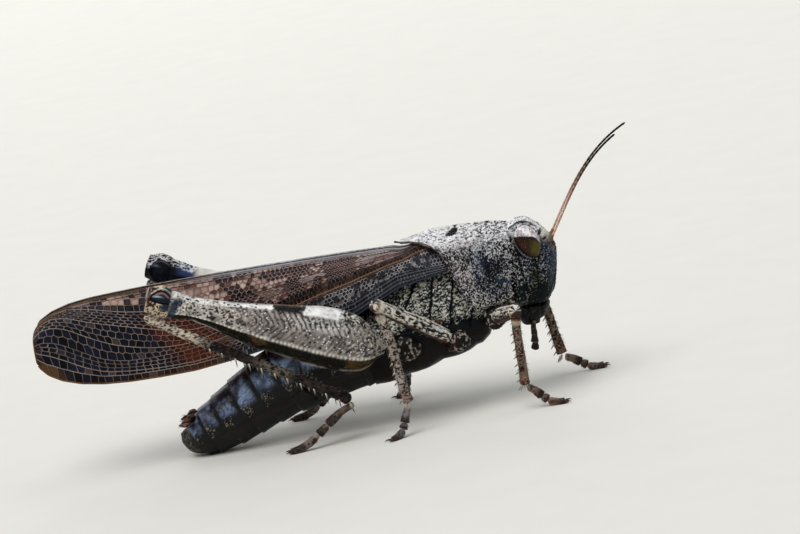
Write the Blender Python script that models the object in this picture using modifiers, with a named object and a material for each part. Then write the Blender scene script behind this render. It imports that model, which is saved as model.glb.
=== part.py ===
"""Rattle grasshopper (Psophus stridulus, male), a band-winged locust, as a still life-size model.

The animal stands on the floor, head towards +X, its own left towards +Y and +Z up. The origin is on the
floor under the middle of its bounding box. Lengths below are in millimetres, and MM turns them into metres.
Each hard plate, wing, eye, feeler and leg segment is a solid of its own, parted from its neighbours by GAP.
"""

import math

import bmesh
import bpy
import numpy as np
from mathutils import Vector

MM = 0.001
GAP = 0.1  # thin cut between neighbouring pieces
SHEET = 0.5  # thickness of wings and of the pronotum's wall
RIGHT, LEFT = -1, 1  # the sign of Y on each side of the animal
SIDES = {"right": RIGHT, "left": LEFT}

# Driving dimensions of the body.
HEAD_BACK = 9.5  # where the head capsule meets the pronotum
MOUTH_TOP = 4.95  # the cut between the head capsule and the mouthparts
THORAX_REAR = 1.0
ABDOMEN_CUTS = (0.3, 0.66)  # shares of the abdomen's length
WING_BASE, WING_TIP = 5.7, -16.68
WING_TIP_Z = 7.4
HINDWING_BASE, HINDWING_TIP = 2.0, -14.2
WING_LAYER = SHEET + GAP  # how far the hindwing lies inside the forewing's outer face

# Colours: base colour, roughness.
FINISHES = {
    "cuticle_grey": ((0.13, 0.12, 0.12), 0.6),
    "cuticle_dark": ((0.03, 0.032, 0.04), 0.35),
    "wing_brown": ((0.12, 0.07, 0.05), 0.45),
    "wing_red": ((0.35, 0.05, 0.02), 0.4),
    "leg_banded": ((0.25, 0.21, 0.18), 0.55),
    "eye": ((0.12, 0.07, 0.03), 0.15),
    "feeler": ((0.35, 0.15, 0.07), 0.5),
}


def clear_scene():
    for obj in list(bpy.data.objects):
        bpy.data.objects.remove(obj)


def new_collection(name):
    collection = bpy.data.collections.new(name)
    bpy.context.scene.collection.children.link(collection)
    return collection


def material(name):
    found = bpy.data.materials.get(name)
    if found:
        return found
    colour, roughness = FINISHES[name]
    made = bpy.data.materials.new(name)
    made.use_nodes = True
    shader = made.node_tree.nodes["Principled BSDF"]
    shader.inputs["Base Color"].default_value = (*colour, 1)
    shader.inputs["Roughness"].default_value = roughness
    shader.inputs["Metallic"].default_value = 0.0
    return made


def add_object(name, mesh, finish):
    mesh.materials.clear()
    mesh.materials.append(material(finish))
    mesh.shade_smooth()
    obj = bpy.data.objects.new(name, mesh)
    PARTS.objects.link(obj)
    return obj


def smooth_line(points, samples):
    """Points along a Catmull-Rom curve through the given ones, evenly spread in parameter."""
    p = np.array(points, float)
    padded = np.vstack([2 * p[0] - p[1], p, 2 * p[-1] - p[-2]])
    found = []
    for s in np.linspace(0, len(p) - 1, samples):
        i = min(int(s), len(p) - 2)
        t = s - i
        a, b, c, d = padded[i : i + 4]
        found.append(
            0.5 * (2 * b + (c - a) * t + (2 * a - 5 * b + 4 * c - d) * t**2 + (3 * b - a - 3 * c + d) * t**3)
        )
    return np.array(found)


def outline(points):
    """A function of x through (x, value) points: straight between them, with x in any order."""
    p = np.array(sorted(points), float)
    return lambda x: float(np.interp(x, p[:, 0], p[:, 1]))


def power(value, exponent):
    return math.copysign(abs(value) ** exponent, value)


# ---------------------------------------------------------------- shape makers


def loft(name, rings, finish):
    """A closed solid through rings of equally many points, with a flat cap at both ends."""
    mesh = bpy.data.meshes.new(name)
    bm = bmesh.new()
    rows = [[bm.verts.new(Vector(p) * MM) for p in ring] for ring in rings]
    count = len(rows[0])
    for low, high in zip(rows, rows[1:]):
        for i in range(count):
            j = (i + 1) % count
            bm.faces.new((low[i], low[j], high[j], high[i]))
    bm.faces.new(rows[0][::-1])
    bm.faces.new(rows[-1])
    bmesh.ops.recalc_face_normals(bm, faces=bm.faces)
    bm.to_mesh(mesh)
    bm.free()
    return add_object(name, mesh, finish)


def sheet(name, grid, finish, thickness=SHEET):
    """A wall: an open surface over a grid of points, thickened away from the side that its normals face."""
    mesh = bpy.data.meshes.new(name)
    bm = bmesh.new()
    rows = [[bm.verts.new(Vector(p) * MM) for p in row] for row in grid]
    for low, high in zip(rows, rows[1:]):
        for i in range(len(low) - 1):
            bm.faces.new((low[i], low[i + 1], high[i + 1], high[i]))
    bm.to_mesh(mesh)
    bm.free()
    obj = add_object(name, mesh, finish)
    wall = obj.modifiers.new("wall", "SOLIDIFY")
    wall.thickness = thickness * MM
    wall.offset = -1
    return obj


def tube(name, points, radii, finish, sides=2, samples=9):
    """A tapered round bar along a smooth line. sides is the bevel resolution: 2 gives 8 sides, 4 gives 12."""
    line = smooth_line(points, samples)
    widths = smooth_line([[r] for r in radii], samples)[:, 0]
    curve = bpy.data.curves.new(name, "CURVE")
    curve.dimensions = "3D"
    curve.bevel_depth = MM
    curve.bevel_resolution = sides
    curve.use_fill_caps = True
    spline = curve.splines.new("POLY")
    spline.points.add(samples - 1)
    for point, co, width in zip(spline.points, line, widths):
        point.co = (*(co * MM), 1)
        point.radius = width
    guide = bpy.data.objects.new(name + "_guide", curve)
    PARTS.objects.link(guide)
    graph = bpy.context.evaluated_depsgraph_get()
    mesh = bpy.data.meshes.new_from_object(guide.evaluated_get(graph))
    bpy.data.objects.remove(guide)
    bm = bmesh.new()
    bm.from_mesh(mesh)
    bmesh.ops.remove_doubles(bm, verts=bm.verts, dist=0.001 * MM)
    bmesh.ops.recalc_face_normals(bm, faces=bm.faces)
    bm.to_mesh(mesh)
    bm.free()
    return add_object(name, mesh, finish)


def ellipsoid(name, centre, half_sizes, finish, turn=0.0, segments=14, rings=9):
    """A ball with three half sizes, turned about Y by turn degrees."""
    mesh = bpy.data.meshes.new(name)
    bm = bmesh.new()
    bmesh.ops.create_uvsphere(bm, u_segments=segments, v_segments=rings, radius=MM)
    bm.to_mesh(mesh)
    bm.free()
    obj = add_object(name, mesh, finish)
    obj.location = Vector(centre) * MM
    obj.rotation_euler = (0, math.radians(turn), 0)
    obj.scale = half_sizes
    return obj


def world_mesh(obj, with_modifiers):
    bpy.context.view_layer.update()
    graph = bpy.context.evaluated_depsgraph_get()
    source = obj.evaluated_get(graph) if with_modifiers else obj
    mesh = bpy.data.meshes.new_from_object(source)
    mesh.transform(obj.matrix_world)
    return mesh


def grown(obj, by=GAP, with_modifiers=False):
    """A hidden copy of obj, larger by that much all over, to cut its neighbours with."""
    mesh = world_mesh(obj, with_modifiers)
    bm = bmesh.new()
    bm.from_mesh(mesh)
    bm.normal_update()
    moves = [(v, v.normal * v.calc_shell_factor() * by * MM) for v in bm.verts]
    for v, move in moves:
        v.co += move
    bm.to_mesh(mesh)
    bm.free()
    return add_cutter(obj.name + "_cutter", mesh)


def add_cutter(name, mesh):
    cutter = bpy.data.objects.new(name, mesh)
    CUTTERS.objects.link(cutter)
    cutter.hide_render = True
    cutter.display_type = "WIRE"
    return cutter


def block(name, centre, size):
    """A hidden upright box to cut with."""
    mesh = bpy.data.meshes.new(name)
    bm = bmesh.new()
    bmesh.ops.create_cube(bm, size=MM)
    bmesh.ops.scale(bm, verts=bm.verts, vec=size)
    bmesh.ops.translate(bm, verts=bm.verts, vec=Vector(centre) * MM)
    bm.to_mesh(mesh)
    bm.free()
    return add_cutter(name, mesh)


def floor_block():
    """Everything below the floor, so that the feet and the abdomen stand on flats at one level."""
    return block("floor_cutter", (0, 0, -10), (60, 40, 20))


def far_side_block(side):
    """Everything on the other side of the animal, so that the two sides' wings keep a thin cut between them."""
    return block(f"midplane_cutter_{side}", (0, SIDES[side] * (GAP / 2 - 10), 10), (60, 20, 40))


def cut(obj, *cutters):
    for cutter in cutters:
        step = obj.modifiers.new("cut_" + cutter.name, "BOOLEAN")
        step.operation = "DIFFERENCE"
        step.object = cutter
    return obj


# ---------------------------------------------------------------- trunk


def pear_ring(x, top, bottom, top_width, low_width, sides=16, roundness=0.8):
    """An upright section of the trunk. It is low_width to each side up to its middle and narrows to top_width."""
    middle, half = (top + bottom) / 2, (top - bottom) / 2
    ring = []
    for i in range(sides):
        angle = 2 * math.pi * i / sides
        rise = power(math.sin(angle), roundness)
        share = max(0.0, rise) ** 1.3
        width = low_width + (top_width - low_width) * share
        ring.append((x, width * power(math.cos(angle), roundness), middle + half * rise))
    return ring


def make_thorax():
    """The prothorax inside the pronotum and the broad winged segments behind it, in one piece."""
    stations = [
        # x, top, bottom, half width above, half width below
        (9.1, 7.6, 5.5, 0.8, 0.9),
        (8.4, 8.5, 4.8, 1.0, 1.35),
        (7.7, 8.8, 4.45, 1.1, 1.5),
        (7.45, 8.8, 3.75, 1.1, 1.55),
        (7.0, 8.8, 3.3, 1.15, 1.65),
        (6.2, 8.8, 3.05, 1.2, 1.95),
        (5.4, 8.7, 2.9, 1.2, 2.2),
        (4.2, 8.5, 2.66, 1.1, 2.3),
        (3.0, 8.0, 2.36, 1.0, 2.25),
        (1.9, 7.2, 2.2, 0.9, 2.1),
        (THORAX_REAR, 6.4, 2.1, 0.9, 1.95),
    ]
    return loft("thorax", [pear_ring(*s) for s in stations], "cuticle_dark")


ABDOMEN_AXIS = [(0.9, 4.0), (-2.2, 3.55), (-4.9, 2.7), (-7.2, 1.65), (-8.9, 1.05), (-9.95, 1.15)]
ABDOMEN_HALF_HEIGHT = [1.95, 1.85, 1.8, 1.55, 1.15, 0.6]
ABDOMEN_HALF_WIDTH = [1.8, 1.75, 1.7, 1.5, 1.25, 0.75]


def make_abdomen():
    """The bent abdomen in three lengths, its end resting on the floor."""
    shares = np.linspace(0, 1, 101)
    axis = smooth_line(ABDOMEN_AXIS, len(shares))
    sizes = smooth_line(list(zip(ABDOMEN_HALF_HEIGHT, ABDOMEN_HALF_WIDTH)), len(shares))
    length = float(np.linalg.norm(np.diff(axis, axis=0), axis=1).sum())
    gap = GAP / length / 2
    ends = [0, *ABDOMEN_CUTS, 1]
    names = ("abdomen_front", "abdomen_middle", "abdomen_end")
    pieces = []
    for name, start, end in zip(names, ends, ends[1:]):
        rings = []
        for share in np.linspace(start + (gap if start else 0), end - (gap if end < 1 else 0), 5):
            along = [np.interp(share, shares, axis[:, k]) for k in (0, 1)]
            ahead = [np.interp(min(1, share + 0.01), shares, axis[:, k]) for k in (0, 1)]
            behind = [np.interp(max(0, share - 0.01), shares, axis[:, k]) for k in (0, 1)]
            direction = Vector((ahead[0] - behind[0], 0, ahead[1] - behind[1])).normalized()
            up = Vector((direction.z, 0, -direction.x))
            height, width = (np.interp(share, shares, sizes[:, k]) for k in (0, 1))
            ring = []
            for i in range(16):
                angle = 2 * math.pi * i / 16
                offset = up * (height * power(math.sin(angle), 0.9))
                ring.append(
                    (along[0] + offset.x, width * power(math.cos(angle), 0.9), along[1] + offset.z)
                )
            rings.append(ring)
        pieces.append(loft(name, rings, "cuticle_dark"))
    return pieces


def make_cercus(name, side, abdomen_end):
    """One of the two short feelers at the tail."""
    points = [(-8.7, 0.55 * side, 2.0), (-9.35, 0.75 * side, 2.1), (-9.8, 0.78 * side, 1.95)]
    cercus = tube(name, points, (0.28, 0.27, 0.2), "cuticle_dark", samples=4)
    return cut(cercus, grown(abdomen_end))


# Side outline of the pronotum: how far back its hind edge runs at each height, and its lower edge.
PRONOTUM_REAR = outline(
    [(5.5, 6.85), (6.26, 6.5), (6.9, 6.16), (7.6, 6.03), (8.4, 5.8), (8.9, 5.2), (9.2, 4.6), (9.45, 3.3)]
)
PRONOTUM_FRONT = outline([(5.5, 9.05), (6.9, 9.28), (8.34, 9.42), (9.45, 9.36)])
PRONOTUM_LOW = outline([(6.8, 5.62), (7.5, 5.45), (8.2, 5.47), (8.7, 5.58), (9.2, 5.85)])
PRONOTUM_KEEL = outline(
    [(3.3, 9.43), (4.4, 9.6), (5.4, 9.78), (6.3, 9.76), (7.5, 9.7), (8.4, 9.66), (9.4, 9.45)]
)
PRONOTUM_WIDTH = outline([(3.3, 0.3), (4.6, 1.55), (5.6, 2.25), (6.6, 2.3), (7.6, 2.0), (9.4, 1.85)])


def make_pronotum():
    """The saddle over the front of the thorax: flat sides, a low roof with a keel, and a hind edge in a V."""
    half = []
    heights = (5.5, 6.3, 7.1, 7.9, 8.5, 8.9, 9.15, 9.3, 9.45)
    widths = (0.9, 0.97, 1.0, 1.0, 0.95, 0.82, 0.55, 0.28, 0.0)
    for height, share in zip(heights, widths):
        row = []
        rear, front = PRONOTUM_REAR(height), PRONOTUM_FRONT(height)
        for x in np.linspace(rear, front, 9):
            rise = (height - heights[0]) / (heights[-1] - heights[0])
            low, high = PRONOTUM_LOW(x), PRONOTUM_KEEL(x)
            row.append((x, -PRONOTUM_WIDTH(x) * share, low + (high - low) * rise))
        half.append(row)
    other = [[(x, -y, z) for x, y, z in row] for row in half[-2::-1]]
    return sheet("pronotum", half + other, "cuticle_grey", thickness=0.42)


# ---------------------------------------------------------------- head

HEAD_STATIONS = [
    # height, front, back, half width, squareness
    (3.85, 10.2, 9.35, 0.55, 0.9),
    (4.3, 10.6, 9.1, 1.0, 0.8),
    (MOUTH_TOP - GAP / 2, 10.95, 9.05, 1.25, 0.75),
    (MOUTH_TOP + GAP / 2, 10.97, 9.05, 1.3, 0.75),
    (5.5, 11.25, 9.2, 1.55, 0.7),
    (6.3, 11.5, HEAD_BACK, 1.72, 0.7),
    (7.1, 11.65, HEAD_BACK, 1.7, 0.7),
    (7.7, 11.72, HEAD_BACK, 1.6, 0.7),
    (8.2, 11.62, HEAD_BACK, 1.5, 0.75),
    (8.7, 11.3, HEAD_BACK, 1.4, 0.8),
    (9.1, 10.9, HEAD_BACK, 1.15, 0.85),
    (9.35, 10.45, HEAD_BACK + 0.1, 0.75, 0.9),
]


def head_ring(height, front, back, width, squareness, sides=16):
    middle, half = (front + back) / 2, (front - back) / 2
    return [
        (
            middle + half * power(math.cos(2 * math.pi * i / sides), squareness),
            width * power(math.sin(2 * math.pi * i / sides), squareness),
            height,
        )
        for i in range(sides)
    ]


def make_head():
    rings = [head_ring(*s) for s in HEAD_STATIONS]
    mouth = loft("mouthparts", rings[:3], "cuticle_dark")
    capsule = loft("head", rings[3:], "cuticle_grey")
    return capsule, mouth


EYE_CENTRE = (10.42, 1.3, 8.42)
EYE_HALF_SIZES = (0.6, 0.72, 0.88)
EYE_TURN = -22  # degrees: the eye's long axis leans back at the top


def make_eye(name, side):
    x, y, z = EYE_CENTRE
    return ellipsoid(name, (x, y * side, z), EYE_HALF_SIZES, "eye", turn=EYE_TURN)


ANTENNA_LINES = {
    "right": [(11.45, -0.62, 8.05), (12.77, -1.0, 9.98), (14.22, -1.55, 12.03), (15.85, -2.0, 13.3)],
    "left": [(11.45, 0.62, 8.05), (12.8, 1.0, 9.95), (14.5, 1.5, 12.0), (16.5, 2.0, 13.2)],
}


def make_antenna(side):
    radii = (0.3, 0.28, 0.27, 0.27)
    return tube(f"antenna_{side}", ANTENNA_LINES[side], radii, "feeler", samples=9)


def make_palp(side):
    sign = SIDES[side]
    points = [(9.85, 0.6 * sign, 4.35), (9.8, 0.72 * sign, 3.4), (9.68, 0.85 * sign, 2.6)]
    return tube(f"palp_{side}", points, (0.27, 0.27, 0.29), "cuticle_dark", samples=5)


# ---------------------------------------------------------------- wings

WING_LOW = outline(
    [
        (WING_BASE, 7.75),
        (4.2, 7.75),
        (3.1, 7.35),
        (2.0, 6.7),
        (1.0, 6.35),
        (-2.0, 5.8),
        (-5.2, 5.22),
        (-8.6, 4.85),
        (WING_TIP, 4.9),
    ]
)
WING_TOP = outline(
    [(WING_BASE, 8.35), (4.6, 8.75), (3.2, 9.25), (0.0, 9.4), (-4.0, 9.5), (-9.0, 9.6), (WING_TIP, 9.45)]
)
WING_SIDE = outline([(WING_BASE, 2.1), (4.0, 2.25), (1.0, 2.15), (-5.0, 1.95), (-10.0, 1.6), (WING_TIP, 1.15)])
ROUNDING_TOP, ROUNDING_LOW = -12.4, -10.5  # where the upper and lower edges start to curve to the tip
ROUNDING_POWER = 2.6


def edge_share(x, start):
    """How much of the wing's height is left at x, from 1 where the rounding starts to 0 at the tip."""
    if x >= start:
        return 1.0
    along = min(1.0, (start - x) / (start - WING_TIP))
    return (1 - along**ROUNDING_POWER) ** (1 / ROUNDING_POWER)


def wing_edges(x):
    """The lower and upper edge's heights at x."""
    low = WING_TIP_Z + (WING_LOW(x) - WING_TIP_Z) * edge_share(x, ROUNDING_LOW)
    top = WING_TIP_Z + (WING_TOP(x) - WING_TIP_Z) * edge_share(x, ROUNDING_TOP)
    return low, top


def wing_section(x, side, inset=0.0, fold=True):
    """Points from the lower edge up the side and, with fold, over the shoulder to the midline."""
    low, top = wing_edges(x)
    wide = WING_SIDE(x) - inset
    middle = GAP / 2 + 0.02
    shares = (0.0, 0.25, 0.5, 0.75, 0.9, 1.0)
    section = []
    for share in shares:
        lean = 0.16 * (1 - edge_share(x, ROUNDING_TOP) * share)
        reach = wide * (1 - 0.2 * share**2) - lean
        if fold and share > 0.7:
            turn = (share - 0.7) / 0.3
            reach = middle + (reach - middle) * (1 - turn**2.5)
        section.append((x, side * max(reach, middle), low + (top - low) * (1 - (1 - share) ** 1.25)))
    return section


def make_forewing(side, *cutters):
    stations = WING_BASE + (WING_TIP + 0.05 - WING_BASE) * np.sin(np.linspace(0, math.pi / 2, 15))
    grid = [wing_section(x, SIDES[side]) for x in stations]
    if SIDES[side] == LEFT:
        grid = grid[::-1]
    return cut(sheet(f"forewing_{side}", grid, "wing_brown"), *cutters)


def make_hindwing(side):
    """The folded fan between the forewings: only its outer leaf's shape shows, from behind and below."""
    grid = []
    for x in np.linspace(HINDWING_BASE, HINDWING_TIP, 11):
        low, top = wing_edges(x)
        wide = WING_SIDE(x) - 0.16 - WING_LAYER
        row = []
        for share in (0.0, 0.35, 0.7, 1.0):
            reach = max(wide * (1 - 0.2 * share**2), GAP / 2 + SHEET)
            height = low + 0.15 + (top - 1.5 - low) * share
            row.append((x, SIDES[side] * reach, height))
        grid.append(row)
    if SIDES[side] == LEFT:
        grid = grid[::-1]
    return sheet(f"hindwing_{side}", grid, "wing_red", thickness=0.5)


# ---------------------------------------------------------------- legs

# Each leg's joints, as (x, distance from the midline, z): coxa, knee, ankle, toe.
FORE_RIGHT = [(7.9, 1.5, 4.75), (9.05, 4.1, 5.4), (8.88, 3.75, 1.3), (10.3, 3.75, 0.2)]
FORE_LEFT = [(7.9, 1.5, 4.75), (10.4, 3.6, 4.85), (11.0, 3.3, 1.1), (12.6, 3.45, 0.2)]
MIDDLE_RIGHT = [(5.75, 1.95, 3.95), (2.1, 4.2, 6.95), (2.75, 4.5, 1.55), (1.95, 5.1, 0.2)]
MIDDLE_LEFT = [(5.75, 1.95, 3.95), (2.3, 4.3, 6.8), (2.6, 4.5, 1.55), (2.0, 5.1, 0.2)]
HIND_RIGHT = [(3.0, 2.75, 4.15), (-9.15, 5.0, 9.45), (-0.1, 3.6, 2.1), (-3.4, 4.0, 0.2)]
HIND_LEFT = [(3.0, 2.75, 4.15), (-9.8, 5.0, 9.5), (-0.4, 3.6, 2.1), (-3.6, 4.1, 0.2)]
LEGS = {
    "fore": {"right": FORE_RIGHT, "left": FORE_LEFT},
    "middle": {"right": MIDDLE_RIGHT, "left": MIDDLE_LEFT},
    "hind": {"right": HIND_RIGHT, "left": HIND_LEFT},
}
COXA_HALF_SIZES = {"fore": (0.62, 0.5, 0.62), "middle": (0.72, 0.55, 0.6), "hind": (0.95, 0.7, 0.72)}
COXA_INSET = {"fore": 0.0, "middle": 0.0, "hind": 0.65}  # how far inside the thigh's line a coxa sits


def joint(place, side):
    x, out, z = place
    return Vector((x, SIDES[side] * out, z))


def between(a, b, share):
    return a + (b - a) * share


def make_coxa(pair, side, thorax_cutter):
    centre = joint(LEGS[pair][side][0], side)
    centre.y -= SIDES[side] * COXA_INSET[pair]
    coxa = ellipsoid(f"coxa_{pair}_{side}", centre, COXA_HALF_SIZES[pair], "cuticle_grey", segments=10, rings=7)
    return cut(coxa, thorax_cutter)


def make_walking_femur(pair, side, coxa, thorax_cutter):
    """The short thigh of a fore or middle leg, thickest near its base and swollen at the knee."""
    hip, knee = (joint(p, side) for p in LEGS[pair][side][:2])
    points = [between(hip, knee, s) for s in (0.12, 0.35, 0.7, 1.07)]
    femur = tube(f"femur_{pair}_{side}", points, (0.36, 0.44, 0.38, 0.36), "leg_banded", samples=6)
    return cut(femur, grown(coxa), thorax_cutter)


def make_walking_tibia(pair, side, femur):
    knee, ankle = (joint(p, side) for p in LEGS[pair][side][1:3])
    points = [between(knee, ankle, s) for s in (0.0, 0.4, 0.97)]
    tibia = tube(f"tibia_{pair}_{side}", points, (0.3, 0.27, 0.3), "leg_banded", samples=5)
    return cut(tibia, grown(femur))


# Along the hind femur: share of its length, height above and below its axis, half thickness.
HIND_FEMUR_STATIONS = [
    (0.0, 0.3, 0.5, 0.35),
    (0.04, 0.6, 1.15, 0.55),
    (0.08, 0.95, 1.55, 0.7),
    (0.13, 1.3, 1.7, 0.8),
    (0.2, 1.5, 1.78, 0.85),
    (0.3, 1.45, 1.7, 0.85),
    (0.4, 1.22, 1.55, 0.78),
    (0.5, 1.03, 1.38, 0.7),
    (0.6, 0.85, 1.12, 0.6),
    (0.72, 0.68, 0.72, 0.5),
    (0.82, 0.6, 0.48, 0.45),
    (0.88, 0.78, 0.65, 0.48),
    (0.95, 1.02, 0.82, 0.52),
    (1.0, 0.72, 0.55, 0.38),
]
HIND_FEMUR_START = 0.085  # share of the way from the coxa to the knee
HIND_FEMUR_END = 1.045


def hind_axes(side):
    """The femur's ends, the direction across it in its upright plane, and the one out of that plane."""
    hip, knee = (joint(p, side) for p in LEGS["hind"][side][:2])
    start, end = between(hip, knee, HIND_FEMUR_START), between(hip, knee, HIND_FEMUR_END)
    along = (end - start).normalized()
    out = along.cross(Vector((0, 0, 1))).normalized()
    return start, end, out.cross(along).normalized(), out


def make_hind_femur(side, coxa):
    """The jumping thigh: deep and rounded near the body, slim before the knee's two lobes."""
    start, end, up, out = hind_axes(side)
    rings = []
    for share, above, below, thick in HIND_FEMUR_STATIONS:
        centre = between(start, end, share)
        ring = []
        for i in range(12):
            angle = 2 * math.pi * i / 12
            rise = math.sin(angle)
            height = rise * (above if rise > 0 else below)
            ring.append(centre + up * height + out * (thick * power(math.cos(angle), 0.85)))
        rings.append(ring)
    femur = loft(f"femur_hind_{side}", rings, "leg_banded")
    return cut(femur, grown(coxa))


def make_hind_tibia(side, femur):
    """The shin, folded forward under the thigh from behind the knee."""
    knee, ankle = (joint(p, side) for p in LEGS["hind"][side][1:3])
    start, end, up, _ = hind_axes(side)
    back = (end - start).normalized()
    heel = knee + back * 0.25 - up * 0.75
    points = [heel, heel - up * 0.42 - back * 0.45, *(between(heel - up * 0.2, ankle, s) for s in (0.3, 0.65, 0.98))]
    tibia = tube(f"tibia_hind_{side}", points, (0.28, 0.31, 0.28, 0.28, 0.31), "leg_banded", samples=9)
    return cut(tibia, grown(femur))


def make_tarsus(pair, side, tibia, floor):
    """The foot: three joints, the first sloping down and the last flat on the floor."""
    ankle, toe = (joint(p, side) for p in LEGS[pair][side][2:4])
    reach = toe - ankle
    reach.z = 0
    step = reach.normalized()
    points = [
        ankle + step * 0.1 - Vector((0, 0, 0.1)),
        between(ankle, toe, 0.55) + Vector((0, 0, 0.02)),
        toe - step * 0.25 + Vector((0, 0, 0.02)),
        toe + step * 0.45,
    ]
    tarsus = tube(f"tarsus_{pair}_{side}", points, (0.27, 0.28, 0.27, 0.27), "leg_banded", samples=7)
    return cut(tarsus, grown(tibia), floor)


def make_leg(pair, side, thorax_cutter, floor):
    coxa = make_coxa(pair, side, thorax_cutter)
    if pair == "hind":
        femur = make_hind_femur(side, coxa)
        tibia = make_hind_tibia(side, femur)
    else:
        femur = make_walking_femur(pair, side, coxa, thorax_cutter)
        tibia = make_walking_tibia(pair, side, femur)
    make_tarsus(pair, side, tibia, floor)


# ---------------------------------------------------------------- the whole animal


def make_animal():
    floor = floor_block()
    pronotum_cutter = grown(make_pronotum(), with_modifiers=True)
    thorax = cut(make_thorax(), pronotum_cutter)
    thorax_cutter = grown(thorax, with_modifiers=True)
    abdomen = make_abdomen()
    cut(abdomen[0], thorax_cutter)
    cut(abdomen[2], floor)
    head, mouth = make_head()
    head_cutter, mouth_cutter = grown(head), grown(mouth)
    for side, sign in SIDES.items():
        make_cercus(f"cercus_{side}", sign, abdomen[2])
        eye = make_eye(f"eye_{side}", sign)
        cut(eye, head_cutter)
        cut(make_antenna(side), head_cutter, grown(eye))
        cut(make_palp(side), mouth_cutter)
        make_forewing(side, far_side_block(side), pronotum_cutter, thorax_cutter)
        make_hindwing(side)
        for pair in LEGS:
            make_leg(pair, side, thorax_cutter, floor)


clear_scene()
PARTS = new_collection("grasshopper")
CUTTERS = new_collection("cutters")
make_animal()
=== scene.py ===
"""Looks of the rattle grasshopper: fine skins of plates, membrane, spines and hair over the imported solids.

Lengths are in millimetres in the frame's own axes (head towards +X, the animal's left towards +Y, the
floor at z = 0), and MM turns them into metres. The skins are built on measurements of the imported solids:
where their surfaces, ends and middles are. The marks painted on a skin, and the few middles and roots that a
skin starts from, are places named in the same axes. Shares run from 0 to 1 along or around a part.
"""

import itertools
import math
from types import SimpleNamespace

import bpy
import numpy as np
from mathutils import Matrix, Vector
from mathutils.bvhtree import BVHTree


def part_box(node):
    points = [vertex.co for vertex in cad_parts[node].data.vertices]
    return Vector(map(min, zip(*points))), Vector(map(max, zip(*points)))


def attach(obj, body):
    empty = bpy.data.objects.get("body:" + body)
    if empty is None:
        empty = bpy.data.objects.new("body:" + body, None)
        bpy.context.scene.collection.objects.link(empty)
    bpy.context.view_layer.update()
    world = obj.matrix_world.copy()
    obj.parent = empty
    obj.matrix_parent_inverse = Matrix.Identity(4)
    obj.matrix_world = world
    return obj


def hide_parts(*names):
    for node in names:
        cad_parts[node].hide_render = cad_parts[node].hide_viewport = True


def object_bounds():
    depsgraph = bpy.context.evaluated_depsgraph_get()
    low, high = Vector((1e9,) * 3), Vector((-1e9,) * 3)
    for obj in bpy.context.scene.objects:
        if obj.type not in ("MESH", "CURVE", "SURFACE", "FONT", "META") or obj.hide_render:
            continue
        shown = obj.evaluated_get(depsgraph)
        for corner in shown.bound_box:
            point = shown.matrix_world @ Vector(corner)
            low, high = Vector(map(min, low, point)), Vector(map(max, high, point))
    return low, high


MM = 0.001
SIDES = {"right": -1, "left": 1}
UP = np.array([0.0, 0.0, 1.0])

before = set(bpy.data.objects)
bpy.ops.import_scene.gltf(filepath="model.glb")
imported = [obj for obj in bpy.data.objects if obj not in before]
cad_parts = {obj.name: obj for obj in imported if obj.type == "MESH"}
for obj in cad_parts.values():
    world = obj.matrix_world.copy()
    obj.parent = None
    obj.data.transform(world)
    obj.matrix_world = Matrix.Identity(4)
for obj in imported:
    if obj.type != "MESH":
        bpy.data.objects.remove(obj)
CAD_BOX = [list(corner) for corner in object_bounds()]


# ---------------------------------------------------------------- numbers, colours and noise


def unit(vectors):
    """Vectors at length 1."""
    vectors = np.asarray(vectors, float)
    return vectors / np.maximum(np.linalg.norm(vectors, axis=-1, keepdims=True), 1e-12)


def ramp(low, high, value):
    """Rises smoothly from 0 at low to 1 at high, or falls where low is above high."""
    share = np.clip((value - low) / (high - low), 0, 1)
    return share * share * (3 - 2 * share)


def hump(value, centre, width):
    """1 at the centre, falling away smoothly on both sides."""
    return np.exp(-(((value - centre) / width) ** 2))


def band(value, low, high, soft):
    """1 between low and high, with soft edges."""
    return ramp(low - soft, low + soft, value) * (1 - ramp(high - soft, high + soft, value))


def tint(a, b, share):
    """From colour a to colour b, for a whole array of shares."""
    a, b = np.asarray(a, float), np.asarray(b, float)
    return a + (b - a) * np.clip(share, 0, 1)[..., None]


def layered(colour, *layers):
    """A colour with more painted over it in turn, each layer a colour and its share."""
    for paint, share in layers:
        colour = tint(colour, paint, share)
    return colour


def srgb(red, green, blue):
    """A colour as seen on a screen, from 0 to 255, as the linear one that shaders take."""
    c = np.array([red, green, blue]) / 255
    return np.where(c <= 0.04045, c / 12.92, ((c + 0.055) / 1.055) ** 2.4)


def hashed(i, j, k, seed):
    """A repeatable number from 0 to 1 for each whole-numbered place."""
    n = (i * 73856093) ^ (j * 19349663) ^ (k * 83492791) ^ (seed * 40503 + 12345)
    n = ((n ^ (n >> 15)) * 739391) & 0xFFFFFFFF
    n = ((n ^ (n >> 13)) * 668265) & 0xFFFFFFFF
    return ((n ^ (n >> 16)) & 0xFFFFFF) / 0xFFFFFF


def noise(points, size, seed=0, layers=1):
    """Smooth noise from 0 to 1 at points, with features about size across and finer layers on them."""
    total, weights = 0.0, 0.0
    for layer in range(layers):
        p = np.asarray(points) * (2.0**layer / size) + 500.0
        base = np.floor(p).astype(np.int64)
        part = p - base
        part = part * part * (3 - 2 * part)
        found = 0.0
        for corner in itertools.product((0, 1), repeat=3):
            share = np.prod(np.where(corner, part, 1 - part), axis=-1)
            found = found + share * hashed(*(base[..., k] + corner[k] for k in range(3)), seed + layer)
        total = total + found / 2**layer
        weights += 1 / 2**layer
    return total / weights


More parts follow.
